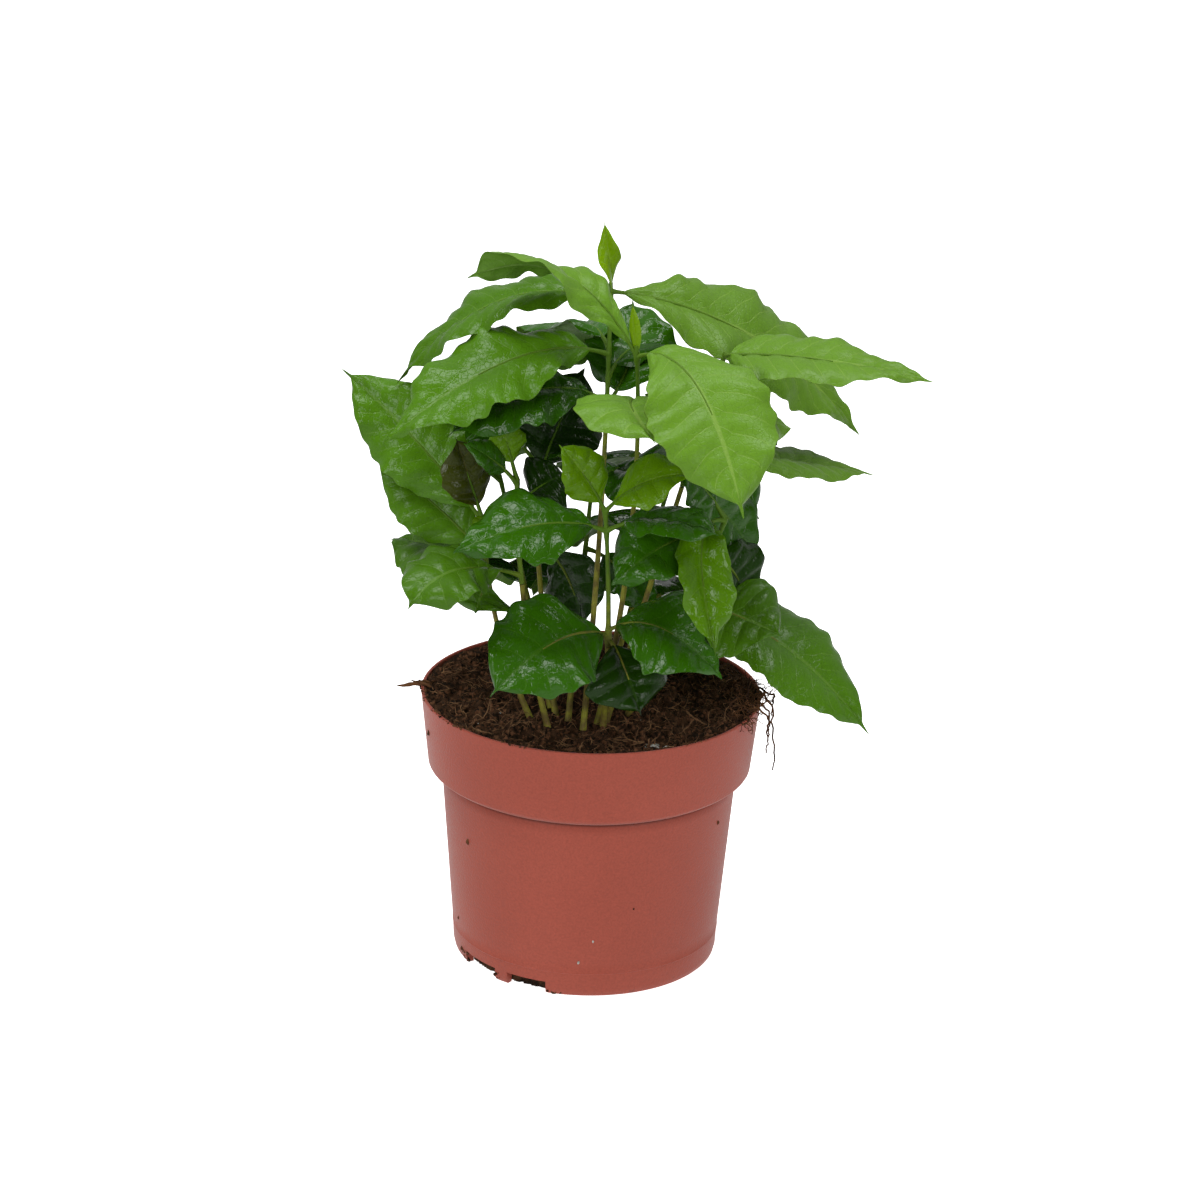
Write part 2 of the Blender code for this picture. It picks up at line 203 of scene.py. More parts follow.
cameraSettings = dict(aim=(2.2, 0.0, 130.6), distance=1250.0, elevation=20.0, turn=1.65, lens=107.25,
                      nearest=0.05, farthest=100.0)
roomSettings = dict(
    floorSize=40.0, floorColor=(0.93, 0.93, 0.93), floorRoughness=0.9, floorShine=0.1, floorGlow=1.0,
    wallColor=(1.0, 1.0, 1.0), frontGlow=0.12, backGlow=0.42, underGlow=0.92,
    frontToBack=(-0.5, 0.7), horizonToUnder=(0.0, -0.25),
)
lampAim = (0.0, 0.0, 0.12)
lampSettings = dict(
    overheadLeft=dict(place=(-0.5, -0.1, 1.35), aim=lampAim, size=(0.55, 0.7), power=9.0),
    overheadRight=dict(place=(0.45, 0.1, 1.4), aim=lampAim, size=(0.55, 0.7), power=8.0),
    frontLeft=dict(place=(-1.0, -1.5, 0.8), aim=lampAim, size=(0.8, 0.8), power=12.0),
    frontRight=dict(place=(1.2, -1.3, 0.6), aim=(0.0, 0.0, 0.10), size=(0.8, 0.8), power=9.0),
)


def makeCamera(settings):
    tilt = math.radians(settings["elevation"])
    back = Vector((0.0, -math.cos(tilt), math.sin(tilt)))
    camera = bpy.data.objects.new("viewCamera", bpy.data.cameras.new("viewCamera"))
    camera.data.lens = settings["lens"]
    camera.data.clip_start = settings["nearest"]
    camera.data.clip_end = settings["farthest"]
    tilted = Matrix.Rotation(math.radians(90.0) - tilt, 4, "X")
    turned = Matrix.Rotation(math.radians(settings["turn"]), 4, "Z")
    place = (Vector(settings["aim"]) + back * settings["distance"]) * mm
    camera.matrix_world = Matrix.Translation(place) @ (tilted @ turned)
    scene.collection.objects.link(camera)
    scene.camera = camera


def makeLamp(name, place, aim, size, power):
    lamp = bpy.data.lights.new(name, "AREA")
    lamp.shape = "RECTANGLE"
    lamp.size, lamp.size_y = size
    lamp.energy = power
    made = bpy.data.objects.new(name, lamp)
    made.location = place
    made.rotation_euler = (Vector(aim) - Vector(place)).to_track_quat("-Z", "Y").to_euler()
    scene.collection.objects.link(made)


def makeRoom(settings):
    reach = settings["floorSize"] / 2
    corners = [(-reach, -reach, 0), (reach, -reach, 0), (reach, reach, 0), (-reach, reach, 0)]
    floor = meshObject("floor", corners, [(0, 1, 2, 3)])
    paint, desk, shader = newMaterial("floorPaper")
    desk.give(shader, {
        "Base Color": settings["floorColor"], "Roughness": settings["floorRoughness"],
        "Specular IOR Level": settings["floorShine"], "Emission Color": (1.0, 1.0, 1.0),
        "Emission Strength": settings["floorGlow"]})
    floor.data.materials.append(paint)
    floor.visible_glossy = False       # the paper isn't mirrored in the plant,
    floor.visible_diffuse = False      # and the light it throws back is the room's glow from below
    world = bpy.data.worlds.new("studio")
    world.use_nodes = True
    desk = NodeDesk(world.node_tree)
    way = desk.split(desk.node("ShaderNodeTexCoord").outputs["Generated"])
    glow = desk.ramp(way["Y"], *settings["frontToBack"], settings["frontGlow"], settings["backGlow"])
    under = desk.ramp(way["Z"], *settings["horizonToUnder"])
    strength = desk.ramp(under, 0.0, 1.0, glow, settings["underGlow"], "LINEAR")
    desk.give(world.node_tree.nodes["Background"], {"Color": settings["wallColor"], "Strength": strength})
    scene.world = world
    scene.view_settings.view_transform = "Standard"


makeCamera(cameraSettings)
makeRoom(roomSettings)
for lampName, lampGiven in lampSettings.items():
    makeLamp(lampName, **lampGiven)
print("camera, light and floor done")


# the plant's measures, in millimetres: the same rule and table as the solids follow

stemSettings = dict(foot=94.0, radius=1.35, tipRadius=0.85, bareBelow=3.0, gap=0.15)
bladeSettings = dict(
    rows=84, columns=32, thickness=0.5, thinBelow=1.5, mergeWithin=1e-6,
    fullness=0.85, end=0.94, dripWidth=0.10, dripLength=0.22, dripPoint=0.75,      # outline and drip tip
    scallop=0.03, scallopShift=0.3, droop=0.25,
    waveLength=27.0, waveHeight=0.075, waveReach=1.7, waveFade=0.12, farSidePhase=2.4, phaseStep=1.3,
    rippleRate=2.7, rippleReach=4.0, rippleShare=0.36,
    veinSpacing=8.0, fewestVeins=5.0, veinReach=0.13, veinBend=1.3,
    quiltHeight=1.05, quiltPower=0.7, quiltInner=(0.0, 0.25), quiltOuter=(1.0, 0.75),
    ribDepth=0.5, ribReach=0.12, swellHeight=1.3, swellScale=38.0,
    smallLeaf=30.0, softBelow=6.0,      # narrow leaves and thin ends have less relief
)

# at: height of the leaf's root on the stem; tip: from the root to the leaf's tip
# arch: rise of the midrib over a straight line; wide: the blade's full width; finish: its green
# roll: turn about the midrib, and twist: how much more by the tip; peak: where it is widest
# fold: how far its halves fold up; petiole: length of the stalk; lean, side: shape of the arch
Leaf = namedtuple("Leaf", "finish at tip arch wide roll peak twist fold petiole lean side wave",
                  defaults=(0.0, 0.45, 0.0, 12.0, 7.0, 0.42, 0.0, 1.0))

# foot: where the stem leaves the soil; top: its tip; bow: how far its middle stands out
Seedling = namedtuple("Seedling", "foot top bow leaves")

seedlings = {
    "centre": Seedling((-2.4, -31), (2.8, -3, 246), (1.5, 0), (
        Leaf("bud", 242, (-3, -1, 26), 1, 9, -85, petiole=0, wave=0, fold=20, side=2),
        Leaf("middle", 239, (-73, 10, -34), 16, 28, -16, lean=0.55, wave=0.8),
        Leaf("sunlit", 243, (89, 26, -57), 13, 44, 34, petiole=4, peak=0.5, lean=0.6, wave=0.55),
        Leaf("middle", 222, (-75, -27, -26), 12, 36, -26),
        Leaf("shade", 224, (-25, 70, -34), 14, 38),
        Leaf("shade", 206, (-54, -18, -9), 10, 34, -24, wave=0.8),
        Leaf("shade", 214, (20, 54, -8), 8, 32),
        Leaf("shade", 205, (8, 41, 26), 0, 34, side=-4),
    )),
    "middle": Seedling((2.4, -25.1), (11.9, -24, 230), (5, 4), (
        Leaf("bud", 227, (-2, 2, 17), 1, 5, -80, petiole=0, wave=0),
        Leaf("sunlit", 226, (-58, 12, 22), 17, 30, -58, peak=0.56, twist=130, petiole=4, wave=0.8),
        Leaf("sunlit", 226, (36, -48, -40), 15, 45, 13, peak=0.5, petiole=4, side=4, wave=0.5),
        Leaf("sunlit", 210, (6, -38, -3), 5, 40, side=-5, petiole=3, wave=0.6),
    )),
    "front": Seedling((4.5, -26.8), (3, -38, 177), (1.5, -2), (
        Leaf("young", 176, (-16, -6, 25), 2, 18, -75, petiole=4),
        Leaf("young", 176, (31, -10, 17), 5, 21, 40, petiole=4),
        Leaf("shade", 169, (-51, -16, -4), 6, 34, -26, petiole=5, wave=0.8),
        Leaf("shade", 169, (38, -14, 4), 5, 30, 5, wave=0.6),
        Leaf("shade", 130, (-39, -30, -12), 8, 42, -30, petiole=3, wave=0.8),
        Leaf("shade", 132, (39, -12, -12), 9, 39, 22, petiole=3, wave=0.7),
        Leaf("dark", 129, (12, -13, -23), 3, 37, petiole=3, peak=0.5, wave=0.5),
    )),
    "right": Seedling((5.5, -23), (42, -15, 226), (0, 0), (
        Leaf("sunlit", 225, (70, -15, -3), 3, 34, 12, peak=0.32, petiole=2, wave=0.5),
        Leaf("shade", 222, (-18, 30, -30), 6, 30),
        Leaf("sunlit", 192, (65, 43, -21), 1, 25, 14, wave=0.4),
        Leaf("sunlit", 202, (33, 56, -19), 4, 26, 50),
        Leaf("shade", 182, (26, 20, -34), 3, 34, 75),
    )),
    "left": Seedling((-20.1, -25), (-38.5, -12, 163), (-4, 0), (
        Leaf("bronze", 162, (-10, -4, 32), 0, 20, -80),
        Leaf("middle", 162, (-51, 26, 46), 5, 32, -58, side=2),
        Leaf("middle", 150, (-40, 18, 29), 3, 27, -50),
        Leaf("middle", 136, (-5, -15, 0), 6, 29, -26),
        Leaf("middle", 140, (-36, 24, 8), 6, 36, -10),
    )),
    "left_inner": Seedling((-14.5, -30.1), (-27, -23, 182), (-3, 0), (
        Leaf("young", 166, (-16, -10, 1), 2, 14, -10),
        Leaf("middle", 148, (-37, -26, -4), 9, 34, -14, peak=0.58, lean=0.7),
        Leaf("young", 181, (-6, -1, 22), 0, 14, -80),
        Leaf("shade", 180, (-18, -13, 18), 2, 12, -60),
        Leaf("dark", 171, (17, 8, 10), 3, 24, 30),
    )),
    "left_back": Seedling((-12, -18.8), (-22, 12, 185), (-2, 0), (
        Leaf("dark", 151, (18, -17, -29), 4, 31, 78, side=3),
        Leaf("dark", 170, (16, 13, 39), 2, 34, 70),
        Leaf("shade", 178, (-43, 22, 14), 6, 36, -55),
    )),
    "back": Seedling((-7.7, -24), (-1, 14, 178), (0, 4), (
        Leaf("shade", 171, (28, -18, 5), 4, 38, 10),
        Leaf("shade", 170, (-6, -18, 13), 4, 26, -10),
        Leaf("shade", 156, (0, 50, -24), 4, 38, -10),
        Leaf("shade", 148, (24, -12, -18), 4, 26, 10),
        Leaf("shade", 176, (8, 56, -26), 6, 38),
        Leaf("shade", 130, (-2, 76, -26), 8, 40),
    )),
    "right_inner": Seedling((13, -16), (44, -26, 171), (2, 0), (
        Leaf("bright", 170, (-2, -34, -38), 12, 24, -8, fold=32, side=-7, wave=1.3),
        Leaf("shade", 164, (-36, -25, -10), 6, 34, -20),
        Leaf("shade", 170, (-19, -8, 21), 4, 20, -50),
        Leaf("dark", 152, (16, 8, -15), 7, 34, 60),
        Leaf("middle", 138, (32, -16, -5), 2, 36, 30, wave=0.7),
    )),
    "right_back": Seedling((4, -10), (30, 30, 180), (0, 4), (
        Leaf("middle", 129, (84, -20, -43), 15, 40, 20, peak=0.56, lean=0.56, wave=0.3),
        Leaf("shade", 178, (12, 52, -20), 8, 38),
        Leaf("shade", 174, (30, 0, -22), 8, 36, 30),
        Leaf("shade", 150, (24, 54, -30), 6, 40),
        Leaf("shade", 152, (40, 24, -34), 6, 36, 20),
        Leaf("shade", 125, (46, 50, -22), 8, 40),
    )),
    "far_left": Seedling((-14, -12), (-36, 28, 172), (0, 4), (
        Leaf("shade", 170, (-13, 43, -16), 8, 38),
        Leaf("shade", 165, (-36, 14, -13), 8, 36, -20),
        Leaf("shade", 147, (-13, 52, -28), 6, 36),
        Leaf("shade", 145, (-31, 2, -14), 6, 36, -20),
        Leaf("shade", 128, (-14, 64, -18), 10, 40),
    )),
}


def stemPoint(seedling, height):
    foot = np.array([*seedling.foot, stemSettings["foot"]])
    share = (height - stemSettings["foot"]) / (seedling.top[2] - stemSettings["foot"])
    bow = np.array([*seedling.bow, 0.0]) * 4.0 * share * (1.0 - share)
    return foot + (np.array(seedling.top) - foot) * share + bow


def midrib(root, leaf, count=121):
    reach = np.array(leaf.tip, dtype=float)
    sideways = unit(np.cross(up, reach))
    knee = root + reach * leaf.lean + up * 2.0 * leaf.arch + sideways * 2.0 * leaf.side
    end = root + reach
    t = np.linspace(0.0, 1.0, count)[:, None]
    points = (1 - t) ** 2 * root + 2 * t * (1 - t) * knee + t ** 2 * end
    run = np.concatenate([[0.0], np.cumsum(np.linalg.norm(np.diff(points, axis=0), axis=1))])
    return points, run


def along(line, run, places):
    return np.stack([np.interp(places, run, line[:, axis]) for axis in range(3)], axis=1)


def halfWidth(share, peak):
    s = bladeSettings
    power = np.log(0.5) / np.log(peak / s["end"])
    inside = np.clip(share / s["end"], 0.0, 1.0)
    body = np.sin(np.pi * inside ** power) ** s["fullness"] * (share < s["end"])
    drip = s["dripWidth"] * np.clip((1.0 - share) / s["dripLength"], 0.0, 1.0) ** s["dripPoint"]
    return 0.5 * np.maximum(body, np.where(share > 0.5, drip, 0.0))


# materials

leafFinishes = dict(      # base colour (linear), roughness, vein colour, vein strength, shine
    sunlit=((0.118, 0.256, 0.016), 0.34, (0.22, 0.36, 0.06), 0.6, 0.20),
    middle=((0.066, 0.176, 0.005), 0.22, (0.13, 0.26, 0.03), 0.6, 0.20),
    shade=((0.026, 0.105, 0.0012), 0.15, (0.06, 0.16, 0.010), 0.5, 0.27),
    dark=((0.012, 0.042, 0.002), 0.15, (0.035, 0.09, 0.008), 0.5, 0.22),
    bud=((0.165, 0.310, 0.002), 0.20, (0.22, 0.36, 0.02), 0.5, 0.14),
    young=((0.108, 0.240, 0.002), 0.19, (0.18, 0.33, 0.02), 0.5, 0.18),
    bright=((0.090, 0.225, 0.002), 0.15, (0.15, 0.30, 0.015), 0.5, 0.25),
    bronze=((0.040, 0.050, 0.003), 0.20, (0.10, 0.09, 0.01), 0.5, 0.20),
)
underFinish = ((0.095, 0.210, 0.018), 0.5, (0.16, 0.28, 0.06), 0.7, 0.15)
finishNames = list(leafFinishes)

# widths are shares of the blade's half width or of the space between two veins
leafPatternSettings = dict(
    broadScale=70.0, broadShade=0.18, broadRoughness=0.22, fineScale=900.0, fineShade=0.12, fineHeight=0.35,
    netScale=520.0, netWidth=0.12, netShade=0.05, netHeight=0.5, tint=0.16,
    vein=(0.455, 0.5), veinFade=(0.98, 0.7), veinShare=0.75, rib=(0.055, 0.02),
    lineRoughness=0.1, lineHeight=0.8, edge=(0.965, 1.0), edgeShare=0.35,
    depth=0.00012, strength=0.7,
)
blotchEdge = (0.35, 0.65)
patternOutputs = {"Color": "Color", "Roughness": "Float", "Height": "Float"}


def leafPatternGroup(s):
    desk, given, result = newGroup(
        "leafPattern", "ShaderNodeTree",
        {"Leaf Color": "Color", "Vein Color": "Color", "Vein Strength": "Float", "Roughness": "Float"},
        patternOutputs)
    side = desk.math("ABSOLUTE", desk.read("across"))
    place = desk.place()
    broad = desk.centred(desk.noise(place, s["broadScale"], 3.0))
    fine = desk.noise(place, s["fineScale"], 4.0)
    cells = desk.node("ShaderNodeTexVoronoi", {"Vector": place, "Scale": s["netScale"]},
                      feature="DISTANCE_TO_EDGE")
    net = desk.ramp(cells.outputs["Distance"], 0.0, s["netWidth"], 1.0, 0.0)
    between = desk.math("ABSOLUTE", desk.centred(desk.math("FRACT", desk.read("veinRun"))))
    vein = desk.times(desk.ramp(between, *s["vein"]), desk.ramp(side, *s["veinFade"]))
    lines = desk.math("MAXIMUM", desk.ramp(side, *s["rib"]), desk.times(vein, s["veinShare"]))
    shade = desk.plus(desk.times(broad, s["broadShade"]), desk.times(desk.centred(fine), s["fineShade"]), 1.0)
    shade = desk.plus(shade, desk.times(desk.read("leafTint"), s["tint"]))
    shade = desk.minus(shade, desk.times(net, s["netShade"]))
    color = desk.scaled(given["Leaf Color"], shade)
    color = desk.mix(desk.times(lines, given["Vein Strength"]), color, given["Vein Color"])
    edge = desk.times(desk.ramp(side, *s["edge"]), s["edgeShare"])
    rough = desk.plus(given["Roughness"], desk.times(broad, s["broadRoughness"]))
    height = desk.minus(desk.times(fine, s["fineHeight"]), desk.times(net, s["netHeight"]))
    desk.feed(result["Color"], desk.mix(edge, color, given["Vein Color"]))
    desk.feed(result["Roughness"], desk.plus(rough, desk.times(lines, s["lineRoughness"])))
    desk.feed(result["Height"], desk.minus(height, desk.times(lines, s["lineHeight"])))
    return desk.tree


def grainGroup():
    # soft blotches and a fine grain on any surface, read from its own place
    desk, given, result = newGroup(
        "grain", "ShaderNodeTree",
        {"Base Color": "Color", "Second Color": "Color", "Roughness": "Float", "Blotch Scale": "Float",
         "Grain Scale": "Float", "Spread": "Float"}, patternOutputs)
    place = desk.place()
    blotch = desk.ramp(desk.noise(place, given["Blotch Scale"], 4.0), *blotchEdge)
    grain = desk.noise(place, given["Grain Scale"], 3.0)
    change = desk.times(desk.centred(grain), given["Spread"])
    toned = desk.mix(blotch, given["Base Color"], given["Second Color"])
    desk.feed(result["Color"], desk.scaled(toned, desk.plus(change, 1.0)))
    desk.feed(result["Roughness"], desk.plus(given["Roughness"], change))
    desk.feed(result["Height"], grain)
    return desk.tree


leafPattern = leafPatternGroup(leafPatternSettings)
grainPattern = grainGroup()


def grainNode(desk, color, second, roughness, blotchScale, grainScale, spread):
    return desk.node("ShaderNodeGroup", {
        "Base Color": color, "Second Color": second, "Roughness": roughness, "Blotch Scale": blotchScale,
        "Grain Scale": grainScale, "Spread": spread}, node_tree=grainPattern)


def dress(desk, shader, pattern, color, shine, depth, strength=1.0):
    # colour and shine as given, roughness and relief from the pattern
    bump = desk.node("ShaderNodeBump", {"Height": pattern.outputs["Height"], "Distance": depth,
                                        "Strength": strength})
    desk.give(shader, {"Base Color": color, "Roughness": pattern.outputs["Roughness"],
                       "Specular IOR Level": shine, "Normal": bump})


def leafMaterial(name, color, roughness, veinColor, veinStrength, shine):
    s = leafPatternSettings
    made, desk, shader = newMaterial(name)
    pattern = desk.node("ShaderNodeGroup", {
        "Leaf Color": color, "Vein Color": veinColor, "Vein Strength": veinStrength, "Roughness": roughness},
        node_tree=leafPattern)
    dress(desk, shader, pattern, pattern.outputs["Color"], shine, s["depth"], s["strength"])
    return made


leafMaterials = [leafMaterial("leaf_" + name, *values) for name, values in leafFinishes.items()]
underMaterial = leafMaterial("leaf_underside", *underFinish)
print("leaf materials done")


# leaf blades

onlyGeometry = {"Geometry": "Geometry"}


def bladeTree(s):
    # every curve is a midrib with its measures as attributes; the result is one veined blade each
    desk, given, result = newGroup("leafBlade", "GeometryNodeTree", onlyGeometry, onlyGeometry)
    curve = desk.node("GeometryNodeMeshToCurve", {"Mesh": given["Geometry"]})
    curve = desk.node("GeometryNodeSetCurveNormal", {"Curve": curve}, mode="Z_UP")
    curve = desk.node("GeometryNodeSetCurveTilt", {"Curve": curve, "Tilt": desk.read("roll")})
    ways = (desk.node("GeometryNodeInputNormal"), desk.node("GeometryNodeInputTangent"))
    upwards = desk.node("ShaderNodeVectorMath", dict(enumerate(ways)), operation="CROSS_PRODUCT")
    curve = desk.store(curve, "bladeNormal", upwards, "FLOAT_VECTOR")

    # the profile is a ring pressed flat, which remembers how far across and how far up each point was
    ring = desk.node("GeometryNodeCurvePrimitiveCircle", {"Resolution": s["columns"], "Radius": 1.0})
    spot = desk.split(desk.place())
    ring = desk.store(ring, "across", desk.times(spot["X"], -1.0))
    ring = desk.store(ring, "upper", desk.times(spot["Y"], -1.0))
    flat = desk.node("ShaderNodeCombineXYZ", {"X": spot["X"]})
    ring = desk.node("GeometryNodeSetPosition", {"Geometry": ring, "Position": flat})
    halfWide = desk.read("halfWidth")
    spread = desk.times(halfWide, desk.math("COSINE", desk.read("fold")))
    blade = desk.node("GeometryNodeCurveToMesh", {"Curve": curve, "Profile Curve": ring, "Scale": spread})

    # folded halves that droop, and waves along the edge
    side = desk.math("ABSOLUTE", desk.read("across"))
    isFar = desk.math("LESS_THAN", desk.read("across"), 0.0)
    folded = desk.times(side, desk.math("SINE", desk.read("fold")))
    raised = desk.times(halfWide, desk.minus(folded, desk.times(side, side, s["droop"])))
    turn = desk.plus(desk.read("waves"), desk.times(isFar, s["farSidePhase"]))
    wave = desk.times(desk.math("SINE", turn), desk.math("POWER", side, s["waveReach"]))
    ripple = desk.math("SINE", desk.times(turn, s["rippleRate"]))
    ripple = desk.times(ripple, desk.math("POWER", side, s["rippleReach"]), s["rippleShare"])
    raised = desk.plus(raised, desk.times(desk.plus(wave, ripple), desk.read("waveHeight")))

    # pillows between the veins, which alternate on the two halves, the sunk midrib and broad swells
    bend = desk.times(s["veinReach"], desk.math("POWER", side, s["veinBend"]))
    run = desk.times(desk.minus(desk.read("along"), bend), desk.read("veins"))
    run = desk.plus(run, desk.times(isFar, 0.5))
    pillow = desk.math("SINE", desk.times(desk.math("FRACT", run), math.pi))
    pillow = desk.math("POWER", desk.math("MAXIMUM", pillow, 0.0), s["quiltPower"])
    inner = desk.times(desk.ramp(side, *s["quiltInner"]), desk.ramp(side, *s["quiltOuter"]))
    pillow = desk.times(pillow, inner, s["quiltHeight"] * mm)
    rib = desk.times(desk.ramp(side, s["ribReach"], 0.0), s["ribDepth"] * mm)
    swell = desk.centred(desk.noise(desk.place(), s["swellScale"], 1.0))
    swell = desk.times(swell, s["swellHeight"] * mm)
    relief = desk.times(desk.plus(swell, desk.minus(pillow, rib)), desk.read("firm"))
    thick = desk.times(desk.read("upper"), desk.read("thick"), 0.5)
    offset = desk.scaled(desk.read("bladeNormal", "FLOAT_VECTOR"), desk.plus(raised, relief, thick))
    blade = desk.store(desk.move(blade, offset), "veinRun", run)
    blade = desk.node("GeometryNodeMergeByDistance", {"Geometry": blade, "Distance": s["mergeWithin"]})
    blade = desk.smooth(blade)
    for number, finish in enumerate(leafMaterials):
        chosen = desk.node("FunctionNodeCompare", {0: desk.read("finish"), 1: float(number), "Epsilon": 0.1},
                           data_type="FLOAT", operation="EQUAL")
        blade = desk.paint(blade, finish, chosen)
    below = desk.node("FunctionNodeCompare", {0: desk.read("upper"), 1: 0.0},
                      data_type="FLOAT", operation="LESS_THAN")
    desk.feed(result["Geometry"], desk.paint(blade, underMaterial, below))
    return desk.tree


def bladeLines(seedling, firstLeaf):
    # the midribs of one seedling with their measures, in metres
    s = bladeSettings
    points, edges, columns = [], [], {}
    shares = np.linspace(0.0, 1.0, s["rows"])
    shares = 0.5 * (shares + 0.5 - 0.5 * np.cos(np.pi * shares))     # closer rows at both ends
    for number, leaf in enumerate(seedling.leaves):
        line, run = midrib(stemPoint(seedling, leaf.at), leaf)
        length = run[-1]
        rib = along(line, run, leaf.petiole + shares * (length - leaf.petiole))
        first = len(points)
        points.extend(rib * mm)
        edges += [(first + i, first + i + 1) for i in range(len(rib) - 1)]
        veins = max(s["fewestVeins"], round(length / s["veinSpacing"]))
        scallop = 1.0 + s["scallop"] * np.sin(2 * np.pi * (veins * shares + s["scallopShift"] * number))
        wide = halfWidth(shares, leaf.peak) * leaf.wide * scallop
        fade = np.clip(np.minimum(shares, 1.0 - shares) / s["waveFade"], 0.0, 1.0)
        phase = (firstLeaf + number) * s["phaseStep"]
        same = np.ones(len(rib))
        measures = dict(
            roll=np.radians(leaf.roll + leaf.twist * shares),
            halfWidth=wide * mm,
            fold=same * math.radians(leaf.fold),
            waves=2 * np.pi * shares * length / s["waveLength"] + phase,
            waveHeight=s["waveHeight"] * leaf.wide * leaf.wave * fade * mm,
            along=shares,
            veins=same * veins,
            thick=s["thickness"] * mm * np.clip(wide / s["thinBelow"], 0.0, 1.0),
            firm=min(1.0, leaf.wide / s["smallLeaf"]) * np.clip(wide / s["softBelow"], 0.0, 1.0),
            finish=same * finishNames.index(leaf.finish),
            leafTint=same * dice.uniform(-1.0, 1.0),
        )
        for key, values in measures.items():
            columns.setdefault(key, []).extend(values)
    return points, edges, columns


def makeBlades(name, seedling, firstLeaf, tree):
    points, edges, columns = bladeLines(seedling, firstLeaf)
    lines = meshObject("midribs_" + name, points, edges=edges)
    for key, values in columns.items():
        setFloats(lines, key, values)
    made = runTree(lines, tree, {}, "blades_" + name)
    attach(made, "root")
    return made


bladeMaker = bladeTree(bladeSettings)
firstLeaf = 0
for seedlingName, seedling in seedlings.items():
    makeBlades(seedlingName, seedling, firstLeaf, bladeMaker)
    firstLeaf += len(seedling.leaves)
print("leaf blades done:", firstLeaf)


# stems and leaf stalks

stalkSettings = dict(
    sides=14, step=1.6, slender=0.8, nodeSwell=0.225, nodeLength=2.2, nodeShift=0.6, footSwell=0.14,
    footReach=5.0, petioleRadius=0.75, petioleSteps=26, petioleThick=(1.5, 1.0, 0.9, 0.30), sink=0.5,
    sinkDepth=0.25, bareRidge=0.5, greenRidge=0.3, ridgeScale=450.0, fewestBare=8, fewestGreen=6,
)
stemFinish = dict(
    green=(0.085, 0.175, 0.008), straw=(0.30, 0.29, 0.035), bark=(0.16, 0.12, 0.030), roughness=0.5,
    blotchScale=240.0, grainScale=2600.0, spread=0.5, shine=0.2, depth=0.0002, wobbleScale=260.0, wobble=0.03,
    bareToGreen=(0.150, 0.235), stalkToGreen=(0.105, 0.165),      # heights in metres
)


def stalkTree():
    desk, given, result = newGroup(
        "sweptStalk", "GeometryNodeTree",
        {"Geometry": "Geometry", "Sides": "Int", "Ridge": "Float", "Finish": "Material"}, onlyGeometry)
    curve = desk.node("GeometryNodeMeshToCurve", {"Mesh": given["Geometry"]})
    ring = desk.node("GeometryNodeCurvePrimitiveCircle", {"Resolution": given["Sides"], "Radius": 1.0})
    swept = desk.node("GeometryNodeCurveToMesh", {"Curve": curve, "Profile Curve": ring,
                                                  "Scale": desk.read("radius"), "Fill Caps": True})
    lump = desk.centred(desk.noise(desk.place(), stalkSettings["ridgeScale"]))
    lump = desk.times(lump, desk.read("radius"), given["Ridge"])
    offset = desk.scaled(desk.node("GeometryNodeInputNormal"), lump)
    swept = desk.smooth(desk.move(swept, offset))
    desk.feed(result["Geometry"], desk.paint(swept, given["Finish"]))
    return desk.tree


def stemMaterial(name, low, high):
    # green at the top, straw and bark towards the soil, one turning into the other from low to high
    s = stemFinish
    made, desk, shader = newMaterial(name)
    height = desk.split(desk.place())["Z"]
    noise = desk.centred(desk.noise(desk.place(), s["wobbleScale"], 4.0))
    wobbly = desk.plus(height, desk.times(noise, s["wobble"]))
    pattern = grainNode(desk, s["straw"], s["bark"], s["roughness"], s["blotchScale"], s["grainScale"],
                        s["spread"])
    color = desk.mix(desk.ramp(wobbly, low, high), pattern.outputs["Color"], s["green"])
    dress(desk, shader, pattern, color, s["shine"], s["depth"])
    return made


def sweepLines(name, strands, tree, finish, ridge, sides=stalkSettings["sides"]):
    # strands: lists of (points in mm, radii in mm)
    points, edges, radii = [], [], []
    for line, radius in strands:
        first = len(points)
        points.extend(np.asarray(line) * mm)
        radii.extend(np.asarray(radius) * mm)
        edges += [(first + i, first + i + 1) for i in range(len(line) - 1)]
    lines = meshObject("lines_" + name, points, edges=edges)
    setFloats(lines, "radius", radii)
    return runTree(lines, tree, {"Sides": sides, "Ridge": ridge, "Finish": finish}, name)


def stemRadius(seedling, heights):
    # thinner to the top, with a swelling at every leaf and at the foot
    s = stemSettings
    share = (heights - s["foot"]) / (seedling.top[2] - s["foot"])
    radius = (s["radius"] + (s["tipRadius"] - s["radius"]) * share) * stalkSettings["slender"]
    for leaf in seedling.leaves:
        bump = np.exp(-((heights - leaf.at + stalkSettings["nodeShift"]) / stalkSettings["nodeLength"]) ** 2)
        radius = radius * (1.0 + stalkSettings["nodeSwell"] * bump)
    foot = np.exp(-(heights - s["foot"]) / stalkSettings["footReach"])
    return radius * (1.0 + stalkSettings["footSwell"] * foot)


def stemPart(seedling, low, high, gapBelow, gapAbove, fewest):
    count = max(fewest, int((high - low) / stalkSettings["step"]))
    heights = np.linspace(low + gapBelow, high - gapAbove, count)
    return np.array([stemPoint(seedling, h) for h in heights]), stemRadius(seedling, heights)


